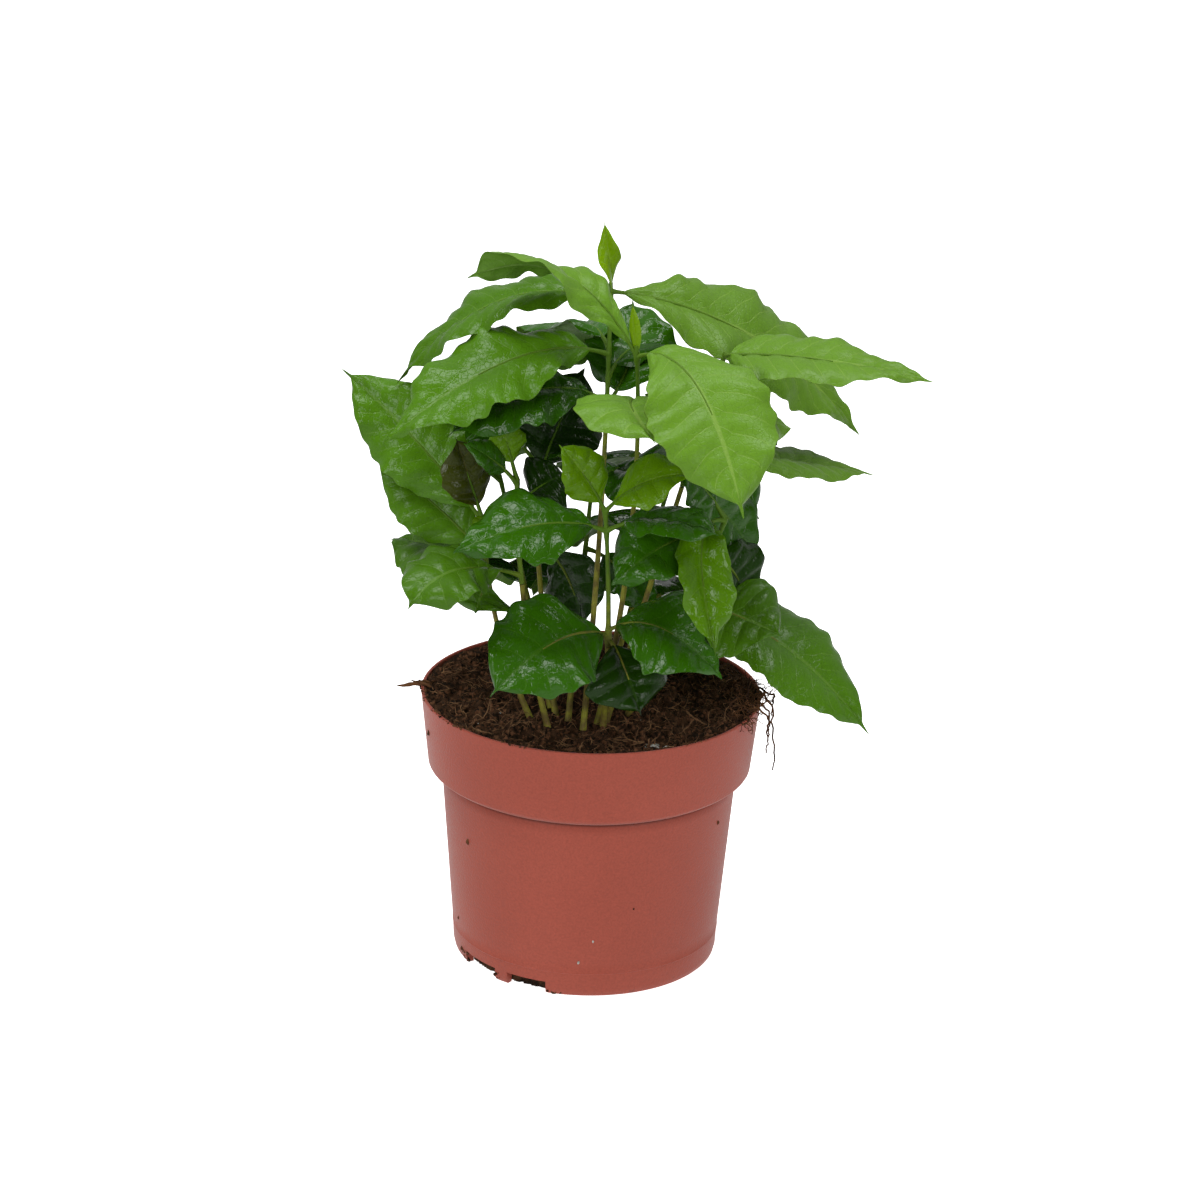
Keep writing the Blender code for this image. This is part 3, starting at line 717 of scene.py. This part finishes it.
def leafStalk(seedling, leaf):
    # from the stem to some way into the blade, under its midrib
    s = stalkSettings
    line, run = midrib(stemPoint(seedling, leaf.at), leaf)
    end = leaf.petiole + s["sink"] * (run[-1] - leaf.petiole)
    places = np.linspace(0.0, end, s["petioleSteps"])
    thick = np.interp(places, [0, leaf.petiole * 0.5, leaf.petiole, end], s["petioleThick"])
    stalk = along(line, run, places)
    stalk[:, 2] -= np.interp(places, [leaf.petiole, end], [0.0, s["sinkDepth"]])
    return stalk, thick * s["petioleRadius"]


def makeStem(name, seedling, tree, finish, greenFinish):
    s = stemSettings
    cut = min(leaf.at for leaf in seedling.leaves) - s["bareBelow"]
    bare = stemPart(seedling, s["foot"], cut, 0.0, s["gap"],
                    stalkSettings["fewestBare"])
    low = sweepLines("bareStem_" + name, [bare], tree, finish, stalkSettings["bareRidge"])
    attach(low, "root")
    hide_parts("stem_" + name)
    strands = [stemPart(seedling, cut, seedling.top[2], s["gap"], 0.0, stalkSettings["fewestGreen"])]
    strands += [leafStalk(seedling, leaf) for leaf in seedling.leaves if leaf.petiole > 0]
    top = sweepLines("stalks_" + name, strands, tree, greenFinish, stalkSettings["greenRidge"])
    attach(top, "root")
    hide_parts("foliage_" + name)
    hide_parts("foliage_" + name)


stalkMaker = stalkTree()
bareFinish = stemMaterial("bare_stem", *stemFinish["bareToGreen"])
greenFinish = stemMaterial("green_stalk", *stemFinish["stalkToGreen"])
for seedlingName, seedling in seedlings.items():
    makeStem(seedlingName, seedling, stalkMaker, bareFinish, greenFinish)
print("stems and stalks done")


# pot

potSettings = dict(
    height=97.0, lipRadius=60.0, wall=1.2, lipRounding=0.45, lipInside=(0.3, 3.0),
    bandRadius=57.2, bandBottom=71.0, bandRows=(0.1, 0.96, 8),
    shoulderRadius=52.3, shoulderHeight=67.6, shoulderBulge=1.6, shoulderRows=24, insideRows=12,
    grooveDepth=0.35, grooveFrom=-1.0, grooveRows=(-0.45, -0.1), bodyRows=16, bodyEnds=-1.5,
    seamRadius=47.6, seamHeight=9.0, seamProfile=((-0.02, -0.35), (0.16, -0.12), (0.16, 0.12), (0.03, 0.35)),
    footRadius=46.3, footEdge=0.55, footRounding=(47.3, 2.5), footWall=2.0, floorBottom=5.2, floorTop=6.6,
    bossRadius=14.0, bossRounding=0.6, underRounding=0.8, sides=192, smoothBelow=35.0,
    notches=((-62.0, -41.0), (-34.5, -16.0), (118.0, 139.0), (145.5, 164.0)), notchHeight=4.6,
    notchInner=39.0, notchSteps=12, slotInset=1.0, slotInsetAngle=2.0, overcut=1.0,
)
potFinish = dict(      # the last five keys: heights of the painted shadow line under the band and of the painted shade below it, in metres, and how much each darkens
    color=(0.405, 0.084, 0.053), second=(0.380, 0.077, 0.048), roughness=0.46, blotchScale=22.0,
    grainScale=1300.0, spread=0.5, shine=0.25, sheen=0.16, sheenRoughness=0.35, depth=0.00016,
    dirt=(0.04, 0.022, 0.014), dirtScale=240.0, dirtFrom=0.80, dirtFull=0.84, dirtyFoot=0.016,
    footDirt=0.22, dirtShare=0.8, paintedShadowLineLow=(-0.0012, -0.0003), paintedShadowLineHigh=(0.0004, 0.00005), paintedShadowLine=0.40,
    paintedShadeBelowLow=(-0.0045, -0.0002), paintedShadeBelow=0.22,
)


def bodyRadius(height):
    s = potSettings
    share = (height - s["seamHeight"]) / (s["shoulderHeight"] - s["seamHeight"])
    return s["seamRadius"] + (s["shoulderRadius"] - s["seamRadius"]) * share


def bandRadius(height):
    s = potSettings
    share = (height - s["bandBottom"]) / (s["height"] - s["bandBottom"])
    return s["bandRadius"] + (s["lipRadius"] - s["bandRadius"]) * share


def shoulderPoints(inset, steps):
    s = potSettings
    points = []
    for share in np.linspace(0.0, 1.0, steps + 1):
        radius = s["bandRadius"] - (s["bandRadius"] - s["shoulderRadius"]) * share ** s["shoulderBulge"]
        points.append((radius - inset, s["bandBottom"] - (s["bandBottom"] - s["shoulderHeight"]) * share))
    return points


def roundCorners(points, radii, steps=4):
    # replaces corners of an open profile by short arcs (quadratic); radii are by the corner's number
    made = []
    for i, point in enumerate(points):
        if i not in radii:
            made.append(tuple(point))
            continue
        here = np.array(point, float)
        before = unit(np.array(points[i - 1], float) - here) * radii[i]
        after = unit(np.array(points[i + 1], float) - here) * radii[i]
        for t in np.linspace(0.0, 1.0, steps + 1):
            made.append(tuple(here + before * (1 - t) ** 2 + after * t ** 2))
    return made


def facing(turn):
    # the direction at this turn about the pot, 0 being the front and 90 degrees the right
    return np.array([math.sin(turn), -math.cos(turn), 0.0])


def ringPoints(radius, height, sides, middle=(0.0, 0.0)):
    x, y = middle
    turns = np.linspace(0.0, 2 * np.pi, sides, endpoint=False)
    return np.array([(x + radius * math.cos(a), y + radius * math.sin(a), height) for a in turns])


def formObject(name, form):
    bmesh.ops.recalc_face_normals(form, faces=form.faces)
    made = meshObject(name, ())
    form.to_mesh(made.data)
    form.free()
    return made


def ringsObject(name, rings, tail=None, head=None):
    # a closed form through rings of points in mm; an end is one face, or a fan to a height on the axis
    form = bmesh.new()
    count = len(rings[0])
    rings = [[form.verts.new(tuple(point)) for point in ring * mm] for ring in rings]
    for lower, upper in zip(rings[:-1], rings[1:]):
        for i in range(count):
            j = (i + 1) % count
            form.faces.new((lower[i], lower[j], upper[j], upper[i]))
    for ring, end in ((rings[0], tail), (rings[-1], head)):
        if end is None:
            form.faces.new(ring)
            continue
        apex = form.verts.new((0, 0, end * mm))
        for i in range(count):
            form.faces.new((ring[i], ring[(i + 1) % count], apex))
    return formObject(name, form)


def ringSector(name, start, end, inner, outer, bottom, top):
    rings = []
    for turn in np.radians(np.linspace(start, end, potSettings["notchSteps"])):
        corners = ((inner, bottom), (outer, bottom), (outer, top), (inner, top))
        rings.append(np.array([facing(turn) * radius + up * height for radius, height in corners]))
    return ringsObject(name, rings)


def cutWith(obj, cutters):
    holder = bpy.data.collections.new("cutters")
    scene.collection.children.link(holder)
    for cutter in cutters:
        scene.collection.objects.unlink(cutter)
        holder.objects.link(cutter)
    step = obj.modifiers.new("cut", "BOOLEAN")
    step.operand_type = "COLLECTION"
    step.collection = holder
    step.operation = "DIFFERENCE"
    step.solver = "EXACT"
    graph = bpy.context.evaluated_depsgraph_get()
    mesh = bpy.data.meshes.new_from_object(obj.evaluated_get(graph))
    obj.modifiers.clear()
    obj.data = mesh
    for cutter in cutters:
        bpy.data.objects.remove(cutter)
    bpy.data.collections.remove(holder)


def finishSolid(obj, finish, smoothBelow):
    obj.data.materials.clear()
    obj.data.materials.append(finish)
    obj.data.shade_smooth()
    obj.data.set_sharp_from_angle(angle=math.radians(smoothBelow))


def potProfile():
    # from the middle of the underside, up the outside, over the lip and down the inside
    s = potSettings
    step = s["shoulderHeight"]
    footInner = s["footRadius"] - s["footWall"]
    under = [(s["bossRadius"], 0.0), (s["bossRadius"], s["floorBottom"]), (footInner, s["floorBottom"]),
             (footInner, 0.0)]
    under = roundCorners(under, {1: s["bossRounding"], 2: s["underRounding"]})
    foot = [(s["footRadius"], 0.0), (s["footRadius"] + s["footEdge"], s["footEdge"]), s["footRounding"]]
    seam = [(s["seamRadius"] + out, s["seamHeight"] + rise) for out, rise in s["seamProfile"]]
    heights = np.linspace(s["seamHeight"], step, s["bodyRows"])[1:-1]
    body = [(bodyRadius(h), h) for h in heights if h < step + s["bodyEnds"]]
    groove = [(bodyRadius(step + s["grooveFrom"]), step + s["grooveFrom"])]
    groove += [(s["shoulderRadius"] - s["grooveDepth"], step + rise) for rise in s["grooveRows"]]
    shoulder = shoulderPoints(0.0, s["shoulderRows"])[::-1]
    wider, higher = s["lipRadius"] - s["bandRadius"], s["height"] - s["bandBottom"]
    band = [(s["bandRadius"] + wider * share, s["bandBottom"] + higher * share)
            for share in np.linspace(*s["bandRows"])]
    lipInner = s["lipRadius"] - s["wall"]
    lip = [band[-1], (s["lipRadius"], s["height"]), (lipInner, s["height"]),
           (lipInner - s["lipInside"][0], s["height"] - s["lipInside"][1])]
    lip = roundCorners(lip, {1: s["lipRounding"], 2: s["lipRounding"]})
    inside = shoulderPoints(s["wall"], s["insideRows"])
    inside.append((bodyRadius(s["floorTop"]) - s["wall"], s["floorTop"]))
    return under + foot + seam + body + groove + shoulder + band + lip[1:] + inside


def makePot(finish):
    s = potSettings
    rings = [ringPoints(radius, height, s["sides"]) for radius, height in potProfile()]
    pot = ringsObject("pot_shell", rings, 0.0, s["floorTop"])
    slotOuter = s["footRadius"] - s["footWall"] - s["slotInset"]
    cutters = []
    for i, (start, end) in enumerate(s["notches"]):
        cutters.append(ringSector("notch_%d" % i, start, end, s["notchInner"], s["lipRadius"],
                                  -s["overcut"], s["notchHeight"]))
        cutters.append(ringSector("slot_%d" % i, start + s["slotInsetAngle"], end - s["slotInsetAngle"],
                                  s["notchInner"] + s["slotInset"], slotOuter,
                                  s["notchHeight"] - s["overcut"], s["floorTop"] + s["overcut"]))
    cutWith(pot, cutters)
    finishSolid(pot, finish, s["smoothBelow"])
    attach(pot, "root")
    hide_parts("pot")


def potMaterial():
    # dirt specks, more of them at the foot, a painted shadow line under the band and a painted shade below it
    s = potFinish
    made, desk, shader = newMaterial("terracotta_plastic")
    pattern = grainNode(desk, s["color"], s["second"], s["roughness"], s["blotchScale"], s["grainScale"],
                        s["spread"])
    height = desk.split(desk.place())["Z"]
    foot = desk.ramp(height, s["dirtyFoot"], 0.0)
    dirt = desk.noise(desk.place(), s["dirtScale"])
    dirt = desk.ramp(dirt, desk.minus(s["dirtFrom"], desk.times(foot, s["footDirt"])), s["dirtFull"])
    color = desk.mix(desk.times(dirt, s["dirtShare"]), pattern.outputs["Color"], s["dirt"])
    step = potSettings["shoulderHeight"] * mm
    # painted shadow of the band's ledge: a dark line at the shoulder and a shade under it that fades
    # downwards
    paintedShadowLine = desk.times(desk.ramp(height, *(step + part for part in s["paintedShadowLineLow"])),
                        desk.ramp(height, *(step + part for part in s["paintedShadowLineHigh"])))
    paintedShadeBelow = desk.times(desk.ramp(height, *(step + part for part in s["paintedShadeBelowLow"]), kind="LINEAR"),
                      desk.math("LESS_THAN", height, step))
    paintedDarkening = desk.plus(desk.times(paintedShadowLine, s["paintedShadowLine"]), desk.times(paintedShadeBelow, s["paintedShadeBelow"]))
    dress(desk, shader, pattern, desk.scaled(color, desk.minus(1.0, paintedDarkening)), s["shine"], s["depth"])
    desk.give(shader, {"Sheen Weight": s["sheen"], "Sheen Roughness": s["sheenRoughness"]})
    return made


makePot(potMaterial())
print("pot done")


# soil and what lies in it

soilSettings = dict(
    level=93.7, edgeLevel=96.2, flatRadius=47.0, coreRadius=1.2, edgeGap=0.5, rings=80, sectors=240,
    lump=1.2, lumpRate=0.25, fine=0.8, fineRate=0.9, edgeCalm=0.6, clearance=0.3, seed=11, sideRows=6,
    smoothBelow=60.0, bedRings=40, bedSectors=120, bedGap=0.9, bedHole=0.01,
)
reliefSettings = dict(waves=26, rates=(0.5, 1.9), depth=5.0)


def noiseGrid(points, scale, seed):
    # smooth pseudo-random relief from a handful of waves
    rng = np.random.default_rng(seed)
    total = np.zeros(len(points))
    for _ in range(reliefSettings["waves"]):
        way = rng.normal(size=2)
        wave = way / np.linalg.norm(way) * scale * rng.uniform(*reliefSettings["rates"])
        total += np.sin(points @ wave + rng.uniform(0, 2 * np.pi))
    return total / reliefSettings["depth"]


def soilHeight(points):
    s = soilSettings
    radius = np.linalg.norm(points, axis=1)
    inner = potSettings["lipRadius"] - potSettings["wall"] - s["edgeGap"]
    rise = np.clip((radius - s["flatRadius"]) / (inner - s["flatRadius"]), 0.0, 1.0)
    base = s["level"] + (s["edgeLevel"] - s["level"]) * rise
    lumps = s["lump"] * noiseGrid(points, s["lumpRate"], s["seed"])
    relief = lumps + s["fine"] * noiseGrid(points, s["fineRate"], s["seed"] + 1)
    return base + relief * (1.0 - s["edgeCalm"] * rise)


def innerRadius(height):
    return bandRadius(height) - potSettings["wall"] - soilSettings["clearance"]


def makeSoil(finish):
    s = soilSettings
    rings = []
    for radius in np.linspace(s["coreRadius"], innerRadius(s["edgeLevel"]), s["rings"]):
        ring = ringPoints(radius, 0.0, s["sectors"])
        ring[:, 2] = soilHeight(ring[:, :2])
        rings.append(ring)
    bottom = potSettings["floorTop"] + s["clearance"]
    wall = potSettings["wall"] + s["clearance"]
    side = shoulderPoints(wall, s["sideRows"]) + [(bodyRadius(bottom) - wall, bottom)]
    rings += [ringPoints(radius, height, s["sectors"]) for radius, height in side]
    soil = ringsObject("soil_body", rings, soilHeight(np.zeros((1, 2)))[0])
    finishSolid(soil, finish, s["smoothBelow"])
    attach(soil, "root")
    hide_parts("soil")


crumbSettings = dict(
    lumpScale=1.3, lump=1.6, turns=6.28, mostAreSmall=2.5, leastShape=(0.6, 0.5, 0.35),
    mostShape=(1.2, 1.0, 0.8), turnSeed=5, sizeSeed=6, shapeSeed=7,
)


def crumbTree(s):
    # crumbs scattered over a surface, each turned and sized at random
    desk, given, result = newGroup(
        "soilCrumbs", "GeometryNodeTree",
        {"Geometry": "Geometry", "Density": "Float", "Least Size": "Float", "Most Size": "Float",
         "Seed": "Int", "Finish": "Material"}, onlyGeometry)
    spots = desk.node("GeometryNodeDistributePointsOnFaces", {
        "Mesh": given["Geometry"], "Density": given["Density"], "Seed": given["Seed"]})
    crumb = desk.node("GeometryNodeMeshIcoSphere", {"Radius": 1.0, "Subdivisions": 1})
    lump = desk.times(desk.centred(desk.noise(desk.place(), s["lumpScale"])), s["lump"])
    crumb = desk.move(crumb, desk.scaled(desk.place(), lump))
    turn = desk.chance("FLOAT_VECTOR", (0.0, 0.0, 0.0), (s["turns"], s["turns"], s["turns"]), s["turnSeed"])
    size = desk.math("POWER", desk.chance("FLOAT", 0.0, 1.0, s["sizeSeed"]), s["mostAreSmall"])
    more = desk.times(size, desk.minus(given["Most Size"], given["Least Size"]))
    shape = desk.chance("FLOAT_VECTOR", s["leastShape"], s["mostShape"], s["shapeSeed"])
    shape = desk.scaled(shape, desk.plus(given["Least Size"], more))
    placed = desk.node("GeometryNodeInstanceOnPoints", {
        "Points": spots, "Instance": crumb, "Rotation": turn, "Scale": shape})
    joined = desk.node("GeometryNodeRealizeInstances", {"Geometry": placed})
    desk.feed(result["Geometry"], desk.paint(joined, given["Finish"]))
    return desk.tree


def scatter(name, bed, area, count, sizes, finish, seed, tree):
    # so many crumbs on a bed of this area, in square metres
    made = runTree(bed, tree, {
        "Density": count / area, "Least Size": sizes[0] * mm, "Most Size": sizes[1] * mm,
        "Seed": seed, "Finish": finish}, name)
    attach(made, "root")


def soilDisc(name, inner, outer, middle):
    # the soil's top between two radii, a little coarser, to scatter things on
    count = soilSettings["bedSectors"]
    radii = np.linspace(inner, outer, soilSettings["bedRings"])
    spots = np.concatenate([ringPoints(radius, 0.0, count, middle)[:, :2] for radius in radii])
    faces = []
    for first in range(0, len(spots) - count, count):
        for i in range(count):
            a, b = first + i, first + (i + 1) % count
            faces.append((a + count, b + count, b, a))
    return meshObject(name, np.column_stack([spots, soilHeight(spots)]) * mm, faces)


crumbBeds = dict(      # count, sizes, seed and, where it isn't the whole soil, the middle and the radius
    soil_crumbs=(5600, (0.35, 1.5), 3, (0.0, 0.0), None),
    white_bits=(26, (0.3, 0.7), 9, (0.0, 0.0), None),
    white_patch=(60, (0.2, 1.15), 4, (23.0, -44.5), 4.6),
)


def makeCrumbs(name, finish, tree):
    count, sizes, seed, middle, edge = crumbBeds[name]
    edge = edge or innerRadius(soilSettings["edgeLevel"]) - soilSettings["bedGap"]
    disc = soilDisc("bed_" + name, edge * soilSettings["bedHole"], edge, middle)
    scatter(name, disc, math.pi * (edge * mm) ** 2, count, sizes, finish, seed, tree)


fibreSettings = dict(
    seed=21, count=900, spread=(0.01, 1.0), reach=56.5, edge=57.0, lift=(-0.1, 0.6), climb=(-0.05, 0.35),
    length=(3.0, 11.0), wiggle=0.28, radius=(0.07, 0.24), taper=0.4, least=0.05, ridge=0.2, sides=5,
)


def wigglyStrand(rng, start, way, length, wiggle, count=9):
    points = [np.array(start, float)]
    way = unit(np.array(way, float))
    for _ in range(count - 1):
        way = unit(way + rng.normal(size=3) * wiggle)
        points.append(points[-1] + way * length / (count - 1))
    return np.array(points)


def makeFibres(finish, tree):
    s = fibreSettings
    rng = np.random.default_rng(s["seed"])
    strands = []
    for _ in range(s["count"]):
        radius = s["reach"] * math.sqrt(rng.uniform(*s["spread"]))
        turn = rng.uniform(0, 2 * np.pi)
        spot = np.array([[radius * math.cos(turn), radius * math.sin(turn)]])
        start = (*spot[0], soilHeight(spot)[0] + rng.uniform(*s["lift"]))
        heading = rng.uniform(0, 2 * np.pi)
        way = (math.cos(heading), math.sin(heading), rng.uniform(*s["climb"]))
        line = wigglyStrand(rng, start, way, rng.uniform(*s["length"]), s["wiggle"])
        far = np.linalg.norm(line[:, :2], axis=1) > s["edge"]
        line[far, :2] *= (s["edge"] / np.linalg.norm(line[far, :2], axis=1))[:, None]
        line[:, 2] = np.maximum(line[:, 2], soilHeight(line[:, :2]) + s["least"])
        thick = rng.uniform(*s["radius"])
        strands.append((line, np.linspace(thick, thick * s["taper"], len(line))))
    made = sweepLines("soil_fibres", strands, tree, finish, s["ridge"], s["sides"])
    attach(made, "root")


rootHairSettings = dict(
    seed=33, ridge=0.6, sides=6, points=12,
    count=150, angle=(60.0, 100.0), inwards=(0.0, 7.0), height=(95.5, 98.5), outward=(-0.4, 1.0),
    upward=(-0.2, 0.7), scatter=0.5, length=(4.0, 13.0), wiggle=0.45, radius=(0.11, 0.27), taper=0.5,
    # turn, drop and reach of the long hairs
    hanging=((86.0, 33.0, 4.2), (80.0, 21.0, 3.8), (74.0, 12.0, 3.2), (92.0, 9.0, 4.6)),
    hangFrom=2.5, hangPoints=26, hangHeight=97.6, hangOver=1.2, hangShare=0.15, hangOut=4.0,
    hangWiggle=0.28, hangRadius=(0.42, 0.28),
    # shift, heading, length and radius of the strips of bark
    scrap=((0.0, (-1.0, -0.12, 0.10), 12.5, 0.75),
           (1.5, (-0.9, -0.5, 0.35), 8.0, 0.5),
           (-2.0, (-0.9, 0.3, 0.3), 6.0, 0.5)),
    scrapFrom=3.5, scrapHeight=96.9, scrapWiggle=0.16,
    scrapShape=(0.6, 0.9, 1.0, 1.0, 1.1, 1.0, 0.9, 1.1, 0.9, 0.7, 0.5, 0.2),
)


def hangingHair(rng, turn, drop, reach):
    # over the lip in a small bow, then down
    s = rootHairSettings
    lip = potSettings["lipRadius"]
    way = facing(math.radians(turn))
    points = []
    for t in np.linspace(0.0, 1.0, s["hangPoints"]):
        out = lip - s["hangFrom"] + (reach + s["hangFrom"]) * min(1.0, t * s["hangOut"])
        bow = s["hangOver"] * math.sin(min(t, s["hangShare"]) / s["hangShare"] * math.pi)
        points.append(way * out + up * (s["hangHeight"] - drop * max(0.0, t - s["hangShare"]) + bow))
    shake = np.cumsum(rng.normal(size=(s["hangPoints"], 3)) * s["hangWiggle"], axis=0)
    return np.array(points) + shake, np.linspace(*s["hangRadius"], s["hangPoints"])


def makeRootHairs(finish, tree):
    # the tangle of fine roots caught on the rim at the right, long hairs hanging from it,
    # and the scrap of bark that lies over the rim at the left
    s = rootHairSettings
    rng = np.random.default_rng(s["seed"])
    strands = []
    lip = potSettings["lipRadius"]
    for _ in range(s["count"]):
        way = facing(math.radians(rng.uniform(*s["angle"])))
        start = way * (lip - rng.uniform(*s["inwards"])) + up * rng.uniform(*s["height"])
        heading = way * rng.uniform(*s["outward"]) + up * rng.uniform(*s["upward"])
        heading += rng.normal(size=3) * s["scatter"]
        line = wigglyStrand(rng, start, heading, rng.uniform(*s["length"]), s["wiggle"], s["points"])
        thick = rng.uniform(*s["radius"])
        strands.append((line, np.linspace(thick, thick * s["taper"], len(line))))
    strands += [hangingHair(rng, *hair) for hair in s["hanging"]]
    for shift, heading, length, thick in s["scrap"]:
        start = (s["scrapFrom"] - lip, shift, s["scrapHeight"])
        line = wigglyStrand(rng, start, heading, length, s["scrapWiggle"], s["points"])
        strands.append((line, thick * np.array(s["scrapShape"])))
    made = sweepLines("root_hairs", strands, tree, finish, s["ridge"], s["sides"])
    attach(made, "root")


rimDirtSettings = dict(
    size=(0.25, 1.05), columns=12,
    # turn where a patch starts and ends, number of crumbs, and radius and height of its two edges
    patches=((-68.0, -47.0, 70, (58.2, 97.0), (60.3, 96.9)),
             (-30.0, -19.0, 16, (58.4, 97.0), (60.2, 96.9)),
             (-90.0, -74.0, 34, (58.2, 97.0), (60.3, 96.9)),
             (60.0, 96.0, 70, (58.2, 97.0), (60.3, 96.8)),
             (30.0, 44.0, 14, (58.4, 97.0), (60.0, 96.9)),
             (-100.0, 100.0, 150, (57.6, 96.2), (58.9, 96.9)),
             (-68.0, -60.5, 46, (46.5, 0.6), (47.4, 4.4)),
             (-41.5, -38.5, 12, (46.4, 0.6), (47.3, 3.0)),
             (-15.5, -9.0, 16, (46.5, 0.5), (46.7, 1.2))),
)


def makeRimDirt(finish, tree):
    # crumbs of soil stuck to the lip and to the foot, in a few patches
    columns = rimDirtSettings["columns"]
    for number, (start, end, count, near, far) in enumerate(rimDirtSettings["patches"]):
        ways = np.array([facing(turn) for turn in np.radians(np.linspace(start, end, columns))])
        points = np.concatenate([ways * radius + up * height for radius, height in (near, far)])
        faces = [(i, i + columns, i + columns + 1, i + 1) for i in range(columns - 1)]
        wide = math.hypot(far[0] - near[0], far[1] - near[1])
        area = math.radians(end - start) * far[0] * wide * mm * mm
        strip = meshObject("strip", points * mm, faces)
        scatter("rim_dirt_%d" % number, strip, area, count, rimDirtSettings["size"], finish, number, tree)


speckSettings = dict(
    seed=8, uneven=(0.75, 1.15), tall=1.5,
    # turn about the pot, height, size, and whether it is a light one
    places=((-73.0, 85.6, 0.75, False), (-54.7, 50.0, 0.8, False), (62.5, 57.6, 0.55, False),
            (3.8, 22.0, 0.35, True), (-2.0, 13.5, 0.45, True), (-69.0, 15.0, 0.4, False),
            (20.0, 34.0, 0.3, False), (128.0, 44.0, 0.6, False), (-140.0, 66.0, 0.5, False),
            (172.0, 30.0, 0.6, False)),
)


def makeSpecks(finishes):
    # bits of dirt stuck to the outside of the pot
    s = speckSettings
    rng = np.random.default_rng(s["seed"])
    for number, (turn, height, size, light) in enumerate(s["places"]):
        radius = (bandRadius if height > potSettings["bandBottom"] else bodyRadius)(height)
        form = bmesh.new()
        bmesh.ops.create_icosphere(form, subdivisions=2, radius=size * mm)
        for vertex in form.verts:
            vertex.co *= rng.uniform(*s["uneven"])
            vertex.co.z *= s["tall"]
        speck = formObject("speck_%d" % number, form)
        place = facing(math.radians(turn)) * radius + up * height
        speck.data.transform(Matrix.Translation(Vector(place) * mm))
        speck.data.materials.append(finishes[int(light)])
        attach(speck, "root")


notchSoilAndShadeSettings = dict(wider=1.0, inset=1.5, outset=0.15, bottom=0.25, above=0.4, cuts=5, rate=1.6, seed=60,
                      rough=0.5, back=0.2)


def makeNotchSoilAndShade(finish):
    # soil packed behind the openings in the foot; these dark blocks also stand in for the shade inside the
    # foot's hollow, as painted shade
    s = potSettings
    p = notchSoilAndShadeSettings
    for number, (start, end) in enumerate(s["notches"]):
        block = ringSector("notch_soil_%d" % number, start - p["wider"], end + p["wider"],
                           s["notchInner"] + p["inset"], s["footRadius"] - s["footWall"] - p["outset"],
                           p["bottom"], s["notchHeight"] + p["above"])
        form = bmesh.new()
        form.from_mesh(block.data)
        bmesh.ops.subdivide_edges(form, edges=form.edges[:], cuts=p["cuts"], use_grid_fill=True)
        spots = np.array([vertex.co for vertex in form.verts]) / mm
        for vertex, push in zip(form.verts, noiseGrid(spots[:, :2], p["rate"], p["seed"] + number)):
            out = Vector((vertex.co.x, vertex.co.y, 0.0)).normalized()
            vertex.co -= out * (abs(push) * p["rough"] + p["back"]) * mm
        form.to_mesh(block.data)
        form.free()
        block.data.materials.append(finish)
        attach(block, "root")


soilFinishes = dict(      # two colours (linear), roughness, scales of blotches and grain, spread, depth
    peat_soil=((0.080, 0.038, 0.018), (0.014, 0.007, 0.003), 0.92, 300.0, 2600.0, 0.9, 0.0007),
    peat_crumb=((0.165, 0.075, 0.036), (0.015, 0.007, 0.003), 0.9, 420.0, 3800.0, 0.9, 0.0003),
    peat_fibre=((0.30, 0.165, 0.080), (0.045, 0.020, 0.010), 0.85, 180.0, 2600.0, 0.5, 0.0001),
    root_hair=((0.150, 0.066, 0.026), (0.030, 0.014, 0.008), 0.8, 140.0, 2600.0, 0.5, 0.0001),
    white_bits=((0.62, 0.62, 0.58), (0.40, 0.39, 0.34), 0.85, 400.0, 2600.0, 0.3, 0.0002),
)
soilShine = 0.15


def soilMaterial(name, *values, depth):
    made, desk, shader = newMaterial(name)
    pattern = grainNode(desk, *values)
    dress(desk, shader, pattern, pattern.outputs["Color"], soilShine, depth)
    return made


soilFinish, crumbFinish, fibreFinish, rootFinish, whiteFinish = [
    soilMaterial(name, *values[:-1], depth=values[-1]) for name, values in soilFinishes.items()]
crumbMaker = crumbTree(crumbSettings)
makeSoil(soilFinish)
makeCrumbs("soil_crumbs", crumbFinish, crumbMaker)
makeCrumbs("white_bits", whiteFinish, crumbMaker)
makeCrumbs("white_patch", whiteFinish, crumbMaker)
makeFibres(fibreFinish, stalkMaker)
makeRootHairs(rootFinish, stalkMaker)
makeRimDirt(crumbFinish, crumbMaker)
makeSpecks((rootFinish, whiteFinish))
makeNotchSoilAndShade(soilFinish)
print("soil done")
